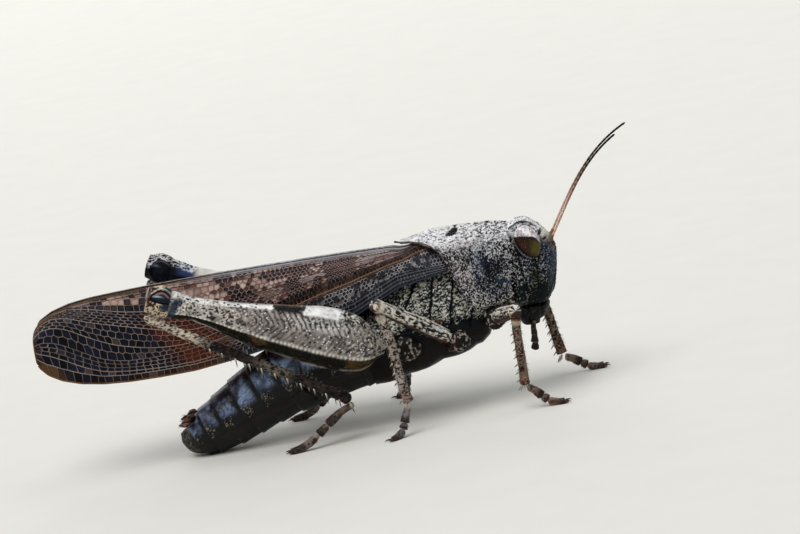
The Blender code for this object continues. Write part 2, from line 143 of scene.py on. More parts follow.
def grains(points, size, seed=0):
    """Scattered grains about size apart: 1 at a grain's middle, 0 at its edge, and the grain's own number."""
    p = np.asarray(points) / size + 500.0
    base = np.floor(p).astype(np.int64)
    nearest, own = np.full(p.shape[:-1], 9.0), np.zeros(p.shape[:-1])
    for step in itertools.product((-1, 0, 1), repeat=3):
        cell = [base[..., k] + step[k] for k in range(3)]
        away = [cell[k] + hashed(*cell, seed + k) - p[..., k] for k in range(3)]
        distance = np.sqrt(sum(a * a for a in away))
        closer = distance < nearest
        nearest = np.where(closer, distance, nearest)
        own = np.where(closer, hashed(*cell, seed + 7), own)
    return ramp(0.62, 0.12, nearest), own


def from_line(points, path):
    """Each point's distance from a bent line, both in two dimensions."""
    points, path = np.asarray(points), np.asarray(path, float)
    nearest = np.full(points.shape[:-1], np.inf)
    for start, end in zip(path, path[1:]):
        along = end - start
        share = np.clip(((points - start) @ along) / (along @ along), 0, 1)
        nearest = np.minimum(nearest, np.linalg.norm(points - (start + share[..., None] * along), axis=-1))
    return nearest


def cubic(table, position, axis, wrap=False):
    """Smooth values of a table between its rows, at fractional row numbers, along the axis given."""
    count = table.shape[axis]
    table = np.moveaxis(table, axis, 0)
    low = np.floor(position).astype(int)
    t = position - low
    rows = [low - 1, low, low + 1, low + 2]
    rows = [r % count if wrap else np.clip(r, 0, count - 1) for r in rows]
    weights = [
        (-t + 2 * t**2 - t**3) / 2,
        (2 - 5 * t**2 + 3 * t**3) / 2,
        (t + 4 * t**2 - 3 * t**3) / 2,
        (-(t**2) + t**3) / 2,
    ]
    shape = (-1,) + (1,) * (table.ndim - 1)
    found = sum(table[r] * w.reshape(shape) for r, w in zip(rows, weights))
    return np.moveaxis(found, 0, axis)


def smoothed(table, times, wrap):
    """A table with each value pulled towards its neighbours. Its second direction may close on itself."""
    for _ in range(times):
        padded = np.concatenate([table[:1], table, table[-1:]])
        table = (padded[:-2] + 2 * padded[1:-1] + padded[2:]) / 4
        before, after = (table[:, -1:], table[:, :1]) if wrap else (table[:, :1], table[:, -1:])
        padded = np.concatenate([before, table, after], axis=1)
        table = (padded[:, :-2] + 2 * padded[:, 1:-1] + padded[:, 2:]) / 4
    return table


# ---------------------------------------------------------------- measuring the solids


def solid(*nodes):
    """The corners (in mm) and triangles of some CAD nodes, as one."""
    points, faces, first = [], [], 0
    for name in nodes:
        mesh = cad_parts[name].data
        mesh.calc_loop_triangles()
        co = np.empty(len(mesh.vertices) * 3, np.float32)
        mesh.vertices.foreach_get("co", co)
        tri = np.empty(len(mesh.loop_triangles) * 3, np.int32)
        mesh.loop_triangles.foreach_get("vertices", tri)
        points.append(co.reshape(-1, 3).astype(float) / MM)
        faces.append(tri.reshape(-1, 3) + first)
        first += len(mesh.vertices)
    return np.concatenate(points), np.concatenate(faces)


def tree_of(*nodes):
    """Some CAD nodes' triangles, ready for rays."""
    points, faces = solid(*nodes)
    return BVHTree.FromPolygons(points.tolist(), faces.tolist())


def reach(tree, start, towards, limit=12.0):
    """How far from start the solid's outermost surface is in a direction, or NaN where there is none."""
    far = start + towards * limit
    hit = tree.ray_cast(Vector(far), Vector(-towards), limit)
    return math.nan if hit[0] is None else limit - hit[3]


def axis_of(node, near, steps=2):
    """A long solid's middle line as steps points, starting at the end nearest to near.

    Straight for two steps. For more, a cubic through all the corners, which follows a bent tube.
    """
    points, _ = solid(node)
    middle = (points.min(axis=0) + points.max(axis=0)) / 2
    along = np.linalg.svd(points - middle, full_matrices=False)[2][0]
    shares = (points - middle) @ along
    if abs(((near - middle) @ along) - shares.min()) > abs(((near - middle) @ along) - shares.max()):
        along, shares = -along, -shares
    low, high = shares.min(), shares.max()
    fit = np.polyfit(shares, points, 1 if steps == 2 else 3)
    return np.stack([np.polyval(fit[:, k], np.linspace(low, high, steps)) for k in range(3)], axis=1)


def cut_heights(points, edges, x):
    """The heights at which some edges between points pass through the upright plane at x."""
    a, b = points[edges[:, 0]], points[edges[:, 1]]
    across = (a[:, 0] - x) * (b[:, 0] - x) < 0
    share = (x - a[across, 0]) / (b[across, 0] - a[across, 0])
    return a[across, 2] + share * (b[across, 2] - a[across, 2])


def middle_line(nodes, xs):
    """Points on the midplane, halfway up the solids' upright section at each x."""
    points, faces = solid(*nodes)
    edges = np.concatenate([faces[:, [0, 1]], faces[:, [1, 2]]])
    found = []
    for x in xs:
        z = cut_heights(points, edges, x)
        found.append((x, 0.0, z.min() + 0.5 * (z.max() - z.min())))
    return np.array(found)


def filled(radii):
    """Places that no ray met take their neighbours' values, and narrow slits are closed."""
    for i, row in enumerate(radii):
        known = np.flatnonzero(~np.isnan(row))
        if 0 < len(known) < len(row):
            places = np.concatenate([known - len(row), known, known + len(row)])
            radii[i] = np.interp(np.arange(len(row)), places, np.tile(row[known], 3))
    whole = np.flatnonzero(~np.isnan(radii[:, 0]))
    for j in range(radii.shape[1]):
        radii[:, j] = np.interp(np.arange(len(radii)), whole, radii[whole, j])
    closed = radii.copy()
    closed[1:-1] = np.maximum(radii[1:-1], (radii[:-2] + radii[2:]) / 2)
    return closed


class Shell:
    """The outer surface of some solids round a line, as radii found by rays, for a fine skin to be built on.

    A share of a turn runs from 0, upwards, through 0.25 on the outer side, to 0.5 below.
    """

    def __init__(self, nodes, line, side=1, stations=48, around=48, smooth=2, upright=False):
        line = np.asarray(line, float)
        lengths = np.concatenate([[0], np.cumsum(np.linalg.norm(np.diff(line, axis=0), axis=1))])
        self.length = lengths[-1]
        shares = np.linspace(0, 1, stations)
        self.centre = np.stack(
            [np.interp(shares * self.length, lengths, line[:, k]) for k in range(3)], axis=1
        )
        along = unit(np.gradient(self.centre, axis=0) * ((1, 0, 0) if upright else 1))
        out = unit(np.cross(along, UP))
        self.out = out * np.sign(out[:, 1:2] * side)
        self.rise = unit(UP - along * (along @ UP)[:, None])
        tree = tree_of(*nodes)
        radii = np.full((stations, around), np.nan)
        for i, j in itertools.product(range(stations), range(around)):
            turn = math.tau * j / around
            ray = self.rise[i] * math.cos(turn) + self.out[i] * math.sin(turn)
            radii[i, j] = reach(tree, self.centre[i], ray)
        self.radii = smoothed(filled(radii), smooth, wrap=True)

    def grid(self, shares, turns):
        """Points of the surface on a grid of shares along the line and shares of a turn."""
        rows = np.asarray(shares) * (len(self.radii) - 1)
        columns = np.asarray(turns) * self.radii.shape[1]
        radii = cubic(cubic(self.radii, rows, 0), columns, 1, wrap=True)
        centre, rise, out = (cubic(t, rows, 0)[:, None] for t in (self.centre, self.rise, self.out))
        angle = math.tau * np.asarray(turns)[None, :, None]
        return centre + radii[..., None] * (unit(rise) * np.cos(angle) + unit(out) * np.sin(angle))

    def local(self, shares, points):
        """How far each point of a grid lies above and outside the line."""
        rows = np.asarray(shares) * (len(self.radii) - 1)
        centre, rise, out = (cubic(t, rows, 0)[:, None] for t in (self.centre, self.rise, self.out))
        return np.sum((points - centre) * unit(rise), axis=2), np.sum((points - centre) * unit(out), axis=2)


# ---------------------------------------------------------------- building pieces

COLOUR_KEYS = ("under", "over")
HAIR_RADIUS = 0.009
HAIR_COLOUR = np.array([0.25, 0.2, 0.16])


def normals_of(points, wrap=False):
    """Unit normals of a grid of points, facing away from its middle line."""
    across = (np.roll(points, -1, 1) - np.roll(points, 1, 1)) / 2 if wrap else np.gradient(points, axis=1)
    normals = unit(np.cross(np.gradient(points, axis=0), across))
    outward = np.sum(normals * (points - points.mean(axis=1, keepdims=True)))
    return normals if outward > 0 else -normals


def lifted(points, lift, wrap=False):
    """A grid moved outwards along its normals."""
    return points + normals_of(points, wrap) * np.asarray(lift)[..., None]


def grid_shares(rows, columns):
    """Shares along a line, with both ends, and shares of a turn, once round."""
    return np.linspace(0, 1, rows), np.linspace(0, 1, columns, endpoint=False)


def side_view(points):
    """x, z and the distance from the midplane of every point."""
    return points[..., 0], points[..., 2], np.abs(points[..., 1])


def numbered(*counts):
    """Every combination of whole numbers below the counts, as one column for each count."""
    return (t.reshape(-1, 1) for t in np.meshgrid(*(np.arange(n) for n in counts), indexing="ij"))


def on_grid(value, key):
    """Whether a look's value differs from place to place, rather than being one for the whole surface."""
    return value.ndim == (3 if key in COLOUR_KEYS else 2)


def spread(look, shape):
    """A look with each value repeated over places of that shape, as one row for each place."""
    wide = {}
    for key, value in look.items():
        channels = (3,) if key in COLOUR_KEYS else ()
        wide[key] = np.broadcast_to(np.asarray(value, float), shape + channels).reshape((-1,) + channels)
    return wide


class Piece:
    """One object under way: surfaces with their colours, joined into one mesh with one unwrapped map.

    Each point has an under colour, an over colour for the fine grains on it, the share of the surface that
    those grains cover, and a roughness.
    """

    KEYS = ("under", "over", "cover", "rough")

    def __init__(self, name):
        self.name = name
        self.count = 0
        self.points, self.corners, self.sizes, self.charts = [], [], [], []
        self.paints = {key: [] for key in self.KEYS}

    def add(self, points, faces, chart, look):
        """Points, faces all of one corner count, each corner's place in mm on a flat chart, and a look."""
        self.points.append(points)
        self.corners.append((faces + self.count).reshape(-1))
        self.sizes.append(np.full(len(faces), faces.shape[1]))
        self.charts.append(chart.reshape(-1, 2) - chart.reshape(-1, 2).min(axis=0))
        self.count += len(points)
        for key, value in spread(look, (len(points),)).items():
            self.paints[key].append(value)

    def grid(self, points, look, wrap=False, towards=None, caps=()):
        """A grid of points as a surface, facing out or towards a direction. caps are end rows to close."""
        for end in caps:
            row = points[end]
            inner = [row + (row.mean(axis=0) - row) * share for share in (0.55, 0.97)]
            inner = np.array(inner[::-1] if end == 0 else inner)
            points = np.concatenate([inner, points] if end == 0 else [points, inner])
            look = {key: self.widened(look[key], key, end) for key in look}
        rows, columns = points.shape[:2]
        i, j = numbered(rows - 1, columns if wrap else columns - 1)
        down, right = np.array([0, 1, 1, 0]), np.array([0, 0, 1, 1])
        flat = points.reshape(-1, 3)
        quads = (i + down) * columns + (j + right) % columns
        tall = np.linalg.norm(np.diff(points, axis=0), axis=2).mean(axis=1).cumsum()
        wide = np.linalg.norm(np.diff(points, axis=1, append=points[:, :1]), axis=2).max(axis=0).cumsum()
        chart = np.stack(
            [np.concatenate([[0], wide])[j + right], np.concatenate([[0], tall])[i + down]], axis=2
        )
        corner = [flat[quads[:, k]] for k in range(3)]
        facing = np.cross(corner[1] - corner[0], corner[2] - corner[0])
        middles = points.mean(axis=1)[i[:, 0]] if wrap else flat.mean(axis=0)
        away = corner[0] - middles if towards is None else np.asarray(towards, float)
        if np.sum(facing * away) < 0:
            quads, chart = quads[:, ::-1], chart[:, ::-1]
        self.add(flat, quads, chart, spread(look, (rows, columns)))

    @staticmethod
    def widened(value, key, end):
        """A look's value with its end row repeated for the two rings of a cap."""
        value = np.asarray(value, float)
        if not on_grid(value, key) or len(value) == 1:
            return value
        rows = np.repeat(value[:1] if end == 0 else value[-1:], 2, axis=0)
        return np.concatenate([rows, value] if end == 0 else [value, rows])

    def bars(self, paths, radii, look, sides=5):
        """Many thin bars: paths is (bars, steps, 3), and radii and a look's values are (bars, steps)."""
        paths, radii = np.asarray(paths, float), np.asarray(radii, float)
        bars, steps = paths.shape[:2]
        along = unit(np.gradient(paths, axis=1))
        helper = np.where(np.abs(along[:, :1, 2:]) < 0.9, UP, np.array([1.0, 0, 0]))
        across = unit(np.cross(along, helper))
        other = np.cross(along, across)
        turn = (math.tau * np.arange(sides) / sides)[:, None]
        ring = across[:, :, None] * np.cos(turn) + other[:, :, None] * np.sin(turn)
        points = paths[:, :, None] + ring * radii[:, :, None, None]
        b, i, j = numbered(bars, steps - 1, sides)
        right, down = np.array([0, 1, 1, 0]), np.array([0, 0, 1, 1])
        quads = (b * steps + i + down) * sides + (j + right) % sides
        side = math.tau * radii.max() / sides
        step = np.linalg.norm(np.diff(paths, axis=1), axis=2).mean() + 1e-6
        shelf = max(1, round(math.sqrt(bars * steps * step / ((sides + 1) * side))))
        u = (b % shelf) * (sides + 1) * side + (j + right) * side
        v = (b // shelf) * steps * step + (i + down) * step
        look = {key: self.per_ring(value, key) for key, value in look.items()}
        self.add(points.reshape(-1, 3), quads, np.stack([u, v], axis=2), spread(look, (bars, steps, sides)))

    @staticmethod
    def per_ring(value, key):
        """A look's value with room for the points of each ring."""
        value = np.asarray(value, float)
        return value[:, :, None] if on_grid(value, key) else value

    def layout(self):
        """The charts side by side on shelves at one scale, within the unit square."""
        sizes = [chart.max(axis=0) for chart in self.charts]
        area = sum(w * h for w, h in sizes)
        margin = 0.01 * math.sqrt(area)
        width = max(
            max(w for w, _ in sizes), math.sqrt(1.1 * sum((w + margin) * (h + margin) for w, h in sizes))
        )
        placed, x, y, tallest = {}, 0.0, 0.0, 0.0
        for n in sorted(range(len(sizes)), key=lambda n: -sizes[n][1]):
            w, h = sizes[n]
            if x and x + w > width:
                x, y, tallest = 0.0, y + tallest + margin, 0.0
            placed[n] = np.array([x, y])
            x, tallest = x + w + margin, max(tallest, h)
        scale = max(width, y + tallest)
        return np.concatenate([(c + placed[n]) / scale for n, c in enumerate(self.charts)]) * 0.996 + 0.002

    def finish(self, material, nodes):
        """Makes the object, hangs it on the animal, and has it stand for those CAD nodes."""
        mesh = bpy.data.meshes.new(self.name)
        points = np.maximum(np.concatenate(self.points), (-np.inf, -np.inf, 0.0)) * MM
        corners, sizes = np.concatenate(self.corners), np.concatenate(self.sizes)
        mesh.vertices.add(len(points))
        mesh.vertices.foreach_set("co", points.astype(np.float32).ravel())
        mesh.loops.add(len(corners))
        mesh.loops.foreach_set("vertex_index", corners.astype(np.int32))
        mesh.polygons.add(len(sizes))
        mesh.polygons.foreach_set(
            "loop_start", np.concatenate([[0], np.cumsum(sizes)[:-1]]).astype(np.int32)
        )
        mesh.polygons.foreach_set("use_smooth", np.ones(len(sizes), bool))
        mesh.update(calc_edges=True)
        mesh.uv_layers.new(name="OFBake").data.foreach_set("uv", self.layout().astype(np.float32).ravel())
        for key, chunks in self.paints.items():
            values = np.clip(np.concatenate(chunks), 0, 1).astype(np.float32)
            if values.ndim == 2:
                rgba = np.concatenate([values, np.ones((len(values), 1), np.float32)], axis=1)
                mesh.attributes.new(key, "FLOAT_COLOR", "POINT").data.foreach_set("color", rgba.ravel())
            else:
                mesh.attributes.new(key, "FLOAT", "POINT").data.foreach_set("value", values)
        mesh.materials.append(material)
        obj = bpy.data.objects.new(self.name, mesh)
        bpy.context.scene.collection.objects.link(obj)
        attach(obj, "root")
        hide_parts(*nodes)


def look(under, over=None, cover=0.0, rough=0.5):
    """The four values that the materials read. Without an over colour, the grains have the under colour."""
    return {"under": under, "over": under if over is None else over, "cover": cover, "rough": rough}


def gritty(colour, grit, share, cover, rough):
    """A look with fine grains tinted towards grit. Black places stay nearly free of them."""
    bright = np.max(colour, axis=-1)
    return look(colour, tint(colour, grit, share), cover * ramp(0.0, 0.14, bright), rough)


def add_hairs(piece, surface, count, length, seed):
    """Fine bristles standing on a grid of points, leaning towards its last row."""
    rows, columns = surface.shape[:2]
    places = np.arange(count)
    i = (hashed(places, 0, 0, seed) * (rows - 3)).astype(int) + 1
    j = (hashed(places, 1, 0, seed) * columns).astype(int) % columns
    out = unit(surface[i, j] - surface[i].mean(axis=1))
    along = unit(surface[i + 1].mean(axis=1) - surface[i - 1].mean(axis=1))
    vary = 0.6 + 0.8 * hashed(places, 2, 0, seed)
    leans = (out + 0.9 * along) * (length * vary)[:, None] / 1.35
    steps = np.array([0.0, 0.5, 1.0])
    bend = (along * length * 0.25)[:, None] * (steps**2)[:, None]
    paths = surface[i, j][:, None] + leans[:, None] * steps[:, None] + bend
    radii = np.broadcast_to(HAIR_RADIUS * np.array([1.0, 0.75, 0.15]), paths.shape[:2])
    piece.bars(paths, radii, look(HAIR_COLOUR), sides=3)


# ---------------------------------------------------------------- materials

BENT, FINE, SLOW = 0.35, 3.2, 0.08  # how often each noise changes over the size of one grain
SHELL_COAT_ROUGHNESS = 0.12
EYE_COAT, EYE_COAT_ROUGHNESS, EYE_SHINE = 0.12, 0.08, 0.12
FACET_HEIGHT = 0.004
EYE_SPECKS = 11000.0


def new_material(name):
    """A material, its node tree and its shader."""
    material = bpy.data.materials.new(name)
    material.use_nodes = True
    return material, material.node_tree, material.node_tree.nodes["Principled BSDF"]


def feed(tree, socket, value):
    """Links a socket to another one, or sets it to a value."""
    if isinstance(value, bpy.types.NodeSocket):
        tree.links.new(value, socket)
    else:
        socket.default_value = value


def node(tree, kind, **inputs):
    """A shader node with its inputs set or linked by name, with underscores for the spaces in names."""
    made = tree.nodes.new(kind)
    for name, value in inputs.items():
        feed(tree, made.inputs[name.replace("_", " ")], value)
    return made


def scaled(tree, low, high, value, new_low=0.0, new_high=1.0):
    """value, from low..high to the new range, softly. low and high may be sockets."""
    made = tree.nodes.new("ShaderNodeMapRange")
    made.interpolation_type = "SMOOTHSTEP"
    for index, part in enumerate((value, low, high, new_low, new_high)):
        feed(tree, made.inputs[index], part)
    return made.outputs[0]


def maths(tree, operation, a, b):
    """One sum of two numbers or sockets."""
    made = tree.nodes.new("ShaderNodeMath")
    made.operation = operation
    for index, part in enumerate((a, b)):
        feed(tree, made.inputs[index], part)
    return made.outputs[0]


def mixed(tree, share, a, b, kind="MIX"):
    """A colour mixed from a to b, which are colours or sockets."""
    made = tree.nodes.new("ShaderNodeMix")
    made.data_type, made.blend_type = "RGBA", kind
    ports = [p for p in made.inputs if p.type == "RGBA"]
    for port, part in ((made.inputs[0], share), (ports[0], a), (ports[1], b)):
        ready = isinstance(part, (float, bpy.types.NodeSocket))
        feed(tree, port, part if ready else (*part, 1.0))
    return next(p for p in made.outputs if p.type == "RGBA")


def attribute(tree, name, output):
    """One of the values that every point of a piece has."""
    made = tree.nodes.new("ShaderNodeAttribute")
    made.attribute_name = name
    return made.outputs[output]


def cuticle(name, grain, depth, ripple, coat=0.0, **settings):
    """Insect shell: painted by the mesh's own colours, with fine grains of the over colour standing on it.

    grain is the size of the grains and depth how far they stand out, both in mm. ripple is the height of the
    finest roughness. settings go on the shader's own sockets.
    """
    material, tree, shader = new_material(name)
    place = tree.nodes.new("ShaderNodeTexCoord").outputs["Object"]
    bent = node(tree, "ShaderNodeTexNoise", Vector=place, Scale=BENT / (grain * MM), Detail=2.0)
    cells = node(tree, "ShaderNodeTexVoronoi", Vector=place, Scale=1 / (grain * MM))
    fine = node(tree, "ShaderNodeTexNoise", Vector=place, Scale=FINE / (grain * MM), Detail=3.0)
    slow = node(tree, "ShaderNodeTexNoise", Vector=place, Scale=SLOW / (grain * MM), Detail=2.0)
    height = maths(tree, "ADD", maths(tree, "MULTIPLY", cells.outputs["Distance"], -0.8), 0.85)
    height = maths(
        tree, "ADD", maths(tree, "MULTIPLY", height, 0.55), maths(tree, "MULTIPLY", bent.outputs[0], 0.45)
    )
    edge = maths(tree, "SUBTRACT", 0.9, maths(tree, "MULTIPLY", attribute(tree, "cover", "Fac"), 0.75))
    mask = scaled(tree, edge, maths(tree, "ADD", edge, 0.1), height)
    under, over = attribute(tree, "under", "Color"), attribute(tree, "over", "Color")
    colour = mixed(tree, mask, under, over)
    shade = scaled(tree, 0.25, 0.75, slow.outputs[0], 0.82, 1.18)
    shade = maths(tree, "MULTIPLY", shade, scaled(tree, 0.2, 0.8, fine.outputs[0], 0.86, 1.14))
    colour = mixed(tree, 1.0, colour, grey_of(tree, shade), "MULTIPLY")
    tree.links.new(colour, shader.inputs["Base Color"])
    uneven = maths(tree, "MULTIPLY", maths(tree, "SUBTRACT", fine.outputs[0], 0.5), 0.25)
    rough = maths(tree, "ADD", attribute(tree, "rough", "Fac"), uneven)
    tree.links.new(rough, shader.inputs["Roughness"])
    relief = maths(tree, "MULTIPLY", mask, depth)
    relief = maths(tree, "ADD", relief, maths(tree, "MULTIPLY", fine.outputs[0], ripple))
    bump = node(tree, "ShaderNodeBump", Height=relief, Distance=MM)
    tree.links.new(bump.outputs[0], shader.inputs["Normal"])
    shader.inputs["Coat Weight"].default_value = coat
    shader.inputs["Coat Roughness"].default_value = SHELL_COAT_ROUGHNESS
    for socket, value in settings.items():
        shader.inputs[socket.replace("_", " ")].default_value = value
    return material


def grey_of(tree, value):
    """A grey as bright as value."""
    made = tree.nodes.new("ShaderNodeCombineColor")
    for socket in made.inputs[:3]:
        tree.links.new(value, socket)
    return made.outputs[0]


def faceted_eye(name, facet=0.022):
    """A compound eye: the shell's colours under rows of tiny domes and a clear gloss."""
    material, tree, shader = new_material(name)
    place = tree.nodes.new("ShaderNodeTexCoord").outputs["Object"]
    cells = node(tree, "ShaderNodeTexVoronoi", Vector=place, Scale=1 / (facet * MM), Randomness=0.15)
    specks = node(tree, "ShaderNodeTexNoise", Vector=place, Scale=EYE_SPECKS, Detail=2.0)
    edge = maths(tree, "SUBTRACT", 0.78, maths(tree, "MULTIPLY", attribute(tree, "cover", "Fac"), 0.6))
    mask = scaled(tree, edge, maths(tree, "ADD", edge, 0.08), specks.outputs[0])
    colour = mixed(tree, mask, attribute(tree, "under", "Color"), attribute(tree, "over", "Color"))
    rims = scaled(tree, 0.35, 0.75, cells.outputs["Distance"], 1.0, 0.72)
    tree.links.new(mixed(tree, 1.0, colour, grey_of(tree, rims), "MULTIPLY"), shader.inputs["Base Color"])
    tree.links.new(attribute(tree, "rough", "Fac"), shader.inputs["Roughness"])
    domes = maths(tree, "MULTIPLY", maths(tree, "MULTIPLY", cells.outputs["Distance"], -1.0), FACET_HEIGHT)
    bump = node(tree, "ShaderNodeBump", Height=domes, Distance=MM)
    tree.links.new(bump.outputs[0], shader.inputs["Normal"])
    shader.inputs["Coat Weight"].default_value = EYE_COAT
    shader.inputs["Coat Roughness"].default_value = EYE_COAT_ROUGHNESS
    shader.inputs["Specular IOR Level"].default_value = EYE_SHINE
    return material


# ---------------------------------------------------------------- colours and patterns of the shell

CREAM = srgb(208, 198, 176)
WHITE = srgb(206, 206, 207)
GREY = srgb(150, 148, 150)
PINK_GREY = srgb(176, 160, 156)
SLATE = srgb(66, 74, 88)
BLUE_BLACK = srgb(24, 28, 40)
BLACK = srgb(13, 13, 16)
SHEEN_BLUE = srgb(104, 134, 164)
BROWN = srgb(84, 54, 36)
RUST = srgb(132, 68, 42)
TAN = srgb(176, 132, 92)
OCHRE = srgb(160, 118, 56)


def worms(points, size, seed=0, width=0.3):
    """A network of pale winding ridges: 1 on a ridge's top, 0 between them."""
    bent = points + size * 0.5 * (noise(points, size * 1.3, seed + 5)[..., None] - 0.5)
    found = noise(bent, size, seed)
    return ramp(width, 0.0, np.abs(found - 0.5) * 2)


def granular(points, size, cover, seed=0):
    """Shagreen of insect shell: ridges and grains whose share of the surface follows cover, from 0 to 1."""
    ridge = worms(points, size * 1.1, seed, 0.6)
    bead, own = grains(points, size, seed + 40)
    field = 0.6 * ridge + 0.6 * bead * (0.55 + 0.45 * own)
    shares = np.linspace(0, 1, 41)
    edge = np.interp(1 - np.clip(cover, 0.0, 1.0), shares, np.quantile(field, shares))
    return ramp(edge - 0.05, edge + 0.07, field) * (cover > 0.01)


def freckles(points, size, share, seed, edge=(0.3, 0.55)):
    """Round dots on about that share of the places, each as large as edge says."""
    bead, own = grains(points, size, seed)
    return ramp(*edge, bead) * (own < share)


def spot(x, z, centre, size):
    """1 at a mark's centre, fading out over its size (one number, or one each way)."""
    size = np.broadcast_to(size, 2)
    return np.exp(-(((x - centre[0]) / size[0]) ** 2) - ((z - centre[1]) / size[1]) ** 2)


def line_mark(a, b, path, width):
    """1 on a bent line in two coordinates, fading out over width."""
    return np.exp(-((from_line(np.stack([a, b], axis=-1), path) / width) ** 2))


# ---------------------------------------------------------------- pronotum

SHIELD_AXIS_HEIGHT = 7.0
SHIELD_RIM = 0.14
SHIELD_KEEL = 0.11
PRINCIPAL_GROOVE = [(7.15, 9.5), (7.35, 8.85), (7.28, 8.0), (7.4, 7.2), (7.6, 6.4)]
FRONT_GROOVE = [(8.0, 9.3), (8.0, 8.4), (7.96, 8.0), (8.1, 7.5), (8.25, 6.95)]
SHOULDER_LINE = [(4.2, 9.15), (5.6, 9.1), (6.3, 8.98), (7.4, 8.9)]
REAR_RIM_COLOUR = srgb(62, 46, 36)


def padded(value, by=2):
    """A grid's values with its outermost ones repeated on all four sides."""
    value = np.asarray(value, float)
    return np.pad(value, [(by, by), (by, by)] + [(0, 0)] * (value.ndim - 2), mode="edge")


def with_rim(points, depth):
    """A plate's grid with two more rows on all four sides, rounding its edge down by depth."""
    normals = normals_of(points)
    for axis in (0, 1):
        points, normals = np.moveaxis(points, axis, 0), np.moveaxis(normals, axis, 0)
        rows = []
        for end, inner in ((0, 1), (-1, -2)):
            out = unit(points[end] - points[inner])
            edge = points[end] - normals[end] * depth
            near = points[end] + out * 0.3 * depth - normals[end] * 0.35 * depth
            rows.append([edge, near] if end == 0 else [near, edge])
        points = np.concatenate([rows[0], points, rows[1]])
        normals = np.concatenate([normals[:1], normals[:1], normals, normals[-1:], normals[-1:]])
        points, normals = np.moveaxis(points, 0, axis), np.moveaxis(normals, 0, axis)
    return points


class Saddle:
    """The pronotum's outer surface: u runs from its rear edge to its front one, v from right to left."""

    def __init__(self, name, height, stations=124, around=91):
        low, high = (np.array(corner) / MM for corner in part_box(name))
        self.xs = np.linspace(low[0] + 0.02, high[0] - 0.02, stations)
        self.angles = np.linspace(0, math.radians(150), around)
        self.height = height
        tree = tree_of(name)
        radii = np.full((stations, around), np.nan)
        for i, j in itertools.product(range(stations), range(around)):
            ray = np.array([0.0, -math.sin(self.angles[j]), math.cos(self.angles[j])])
            radii[i, j] = reach(tree, np.array([self.xs[i], 0.0, height]), ray)
        met = ~np.isnan(radii)
        lines = [self.xs[met[:, j]] for j in range(around)]
        self.rear = np.array([line.min() if len(line) else np.nan for line in lines])
        self.front = np.array([line.max() if len(line) else np.nan for line in lines])
        whole = np.flatnonzero(met.any(axis=0))
        for edge in (self.rear, self.front):
            edge[:] = np.interp(np.arange(around), whole, edge[whole])
        widest = np.array([self.angles[met[i]].max() if met[i].any() else 0 for i in range(stations)])
        flared = self.rear[0] + 0.62 * (self.front[0] - self.rear[0])
        middle = (self.xs > flared) & (self.xs < self.front[0] - 0.5)
        self.widest = np.interp(self.xs, self.xs[middle], smoothed(widest[middle][:, None], 3, False)[:, 0])
        for j in range(around):
            known = np.flatnonzero(met[:, j])
            if len(known):
                radii[:, j] = np.interp(np.arange(stations), known, radii[known, j])
        for i in range(stations):
            known = np.flatnonzero(~np.isnan(radii[i]))
            radii[i] = np.interp(np.arange(around), known, radii[i, known])
        both = np.concatenate([radii[:, :0:-1], radii], axis=1)
        self.radii = smoothed(both, 2, wrap=False)

    def grid(self, us, vs):
        """Points of the surface at every u and v."""
        u, v = np.meshgrid(us, vs, indexing="ij")
        x = self.rear[0] + u * (self.front[0] - self.rear[0])
        for _ in range(6):
            angle = v * np.interp(x, self.xs, self.widest)
            rear = np.interp(np.abs(angle), self.angles, self.rear)
            front = np.interp(np.abs(angle), self.angles, self.front)
            x = rear + u * (front - rear)
        rows = (x - self.xs[0]) / (self.xs[1] - self.xs[0])
        columns = angle / (self.angles[1] - self.angles[0]) + len(self.angles) - 1
        radius = sampled(self.radii, rows, columns)
        return np.stack([x, radius * np.sin(angle), self.height + radius * np.cos(angle)], axis=2)


def sampled(table, rows, columns):
    """Values of a table at fractional rows and columns, straight between its entries."""
    i = np.clip(np.floor(rows).astype(int), 0, table.shape[0] - 2)
    j = np.clip(np.floor(columns).astype(int), 0, table.shape[1] - 2)
    s, t = np.clip(rows - i, 0, 1), np.clip(columns - j, 0, 1)
    if table.ndim == 3:
        s, t = s[..., None], t[..., None]
    top = table[i, j] * (1 - t) + table[i, j + 1] * t
    bottom = table[i + 1, j] * (1 - t) + table[i + 1, j + 1] * t
    return top * (1 - s) + bottom * s


def make_pronotum(rows=200, columns=330):
    """The saddle over the thorax: pale rough roof with a keel, and speckled dark flanks with two grooves."""
    saddle = Saddle("pronotum", SHIELD_AXIS_HEIGHT)
    us = np.linspace(0, 1, rows)
    vs = np.linspace(-1, 1, columns)
    points = saddle.grid(us, vs)
    marks = pronotum_marks(points)
    marks.rear = ramp(0.11, 0.04, us * (saddle.front[0] - saddle.rear[0]))[:, None]
    marks.lower = ramp(0.86, 0.97, np.abs(vs))[None, :]
    marks.shag = granular(points, 0.078 + 0.02 * marks.roof[..., None], pronotum_pale(points, marks), 3)
    body = with_rim(lifted(points, pronotum_lift(points, marks) - 0.02), SHIELD_RIM)
    piece = Piece("pronotum_plate")
    rough = padded(0.5 - 0.18 * marks.rectangle)
    piece.grid(body, gritty(padded(pronotum_colour(points, marks)), WHITE, 0.35, 0.16, rough))
    piece.finish(MATERIALS["shell"], ["pronotum"])


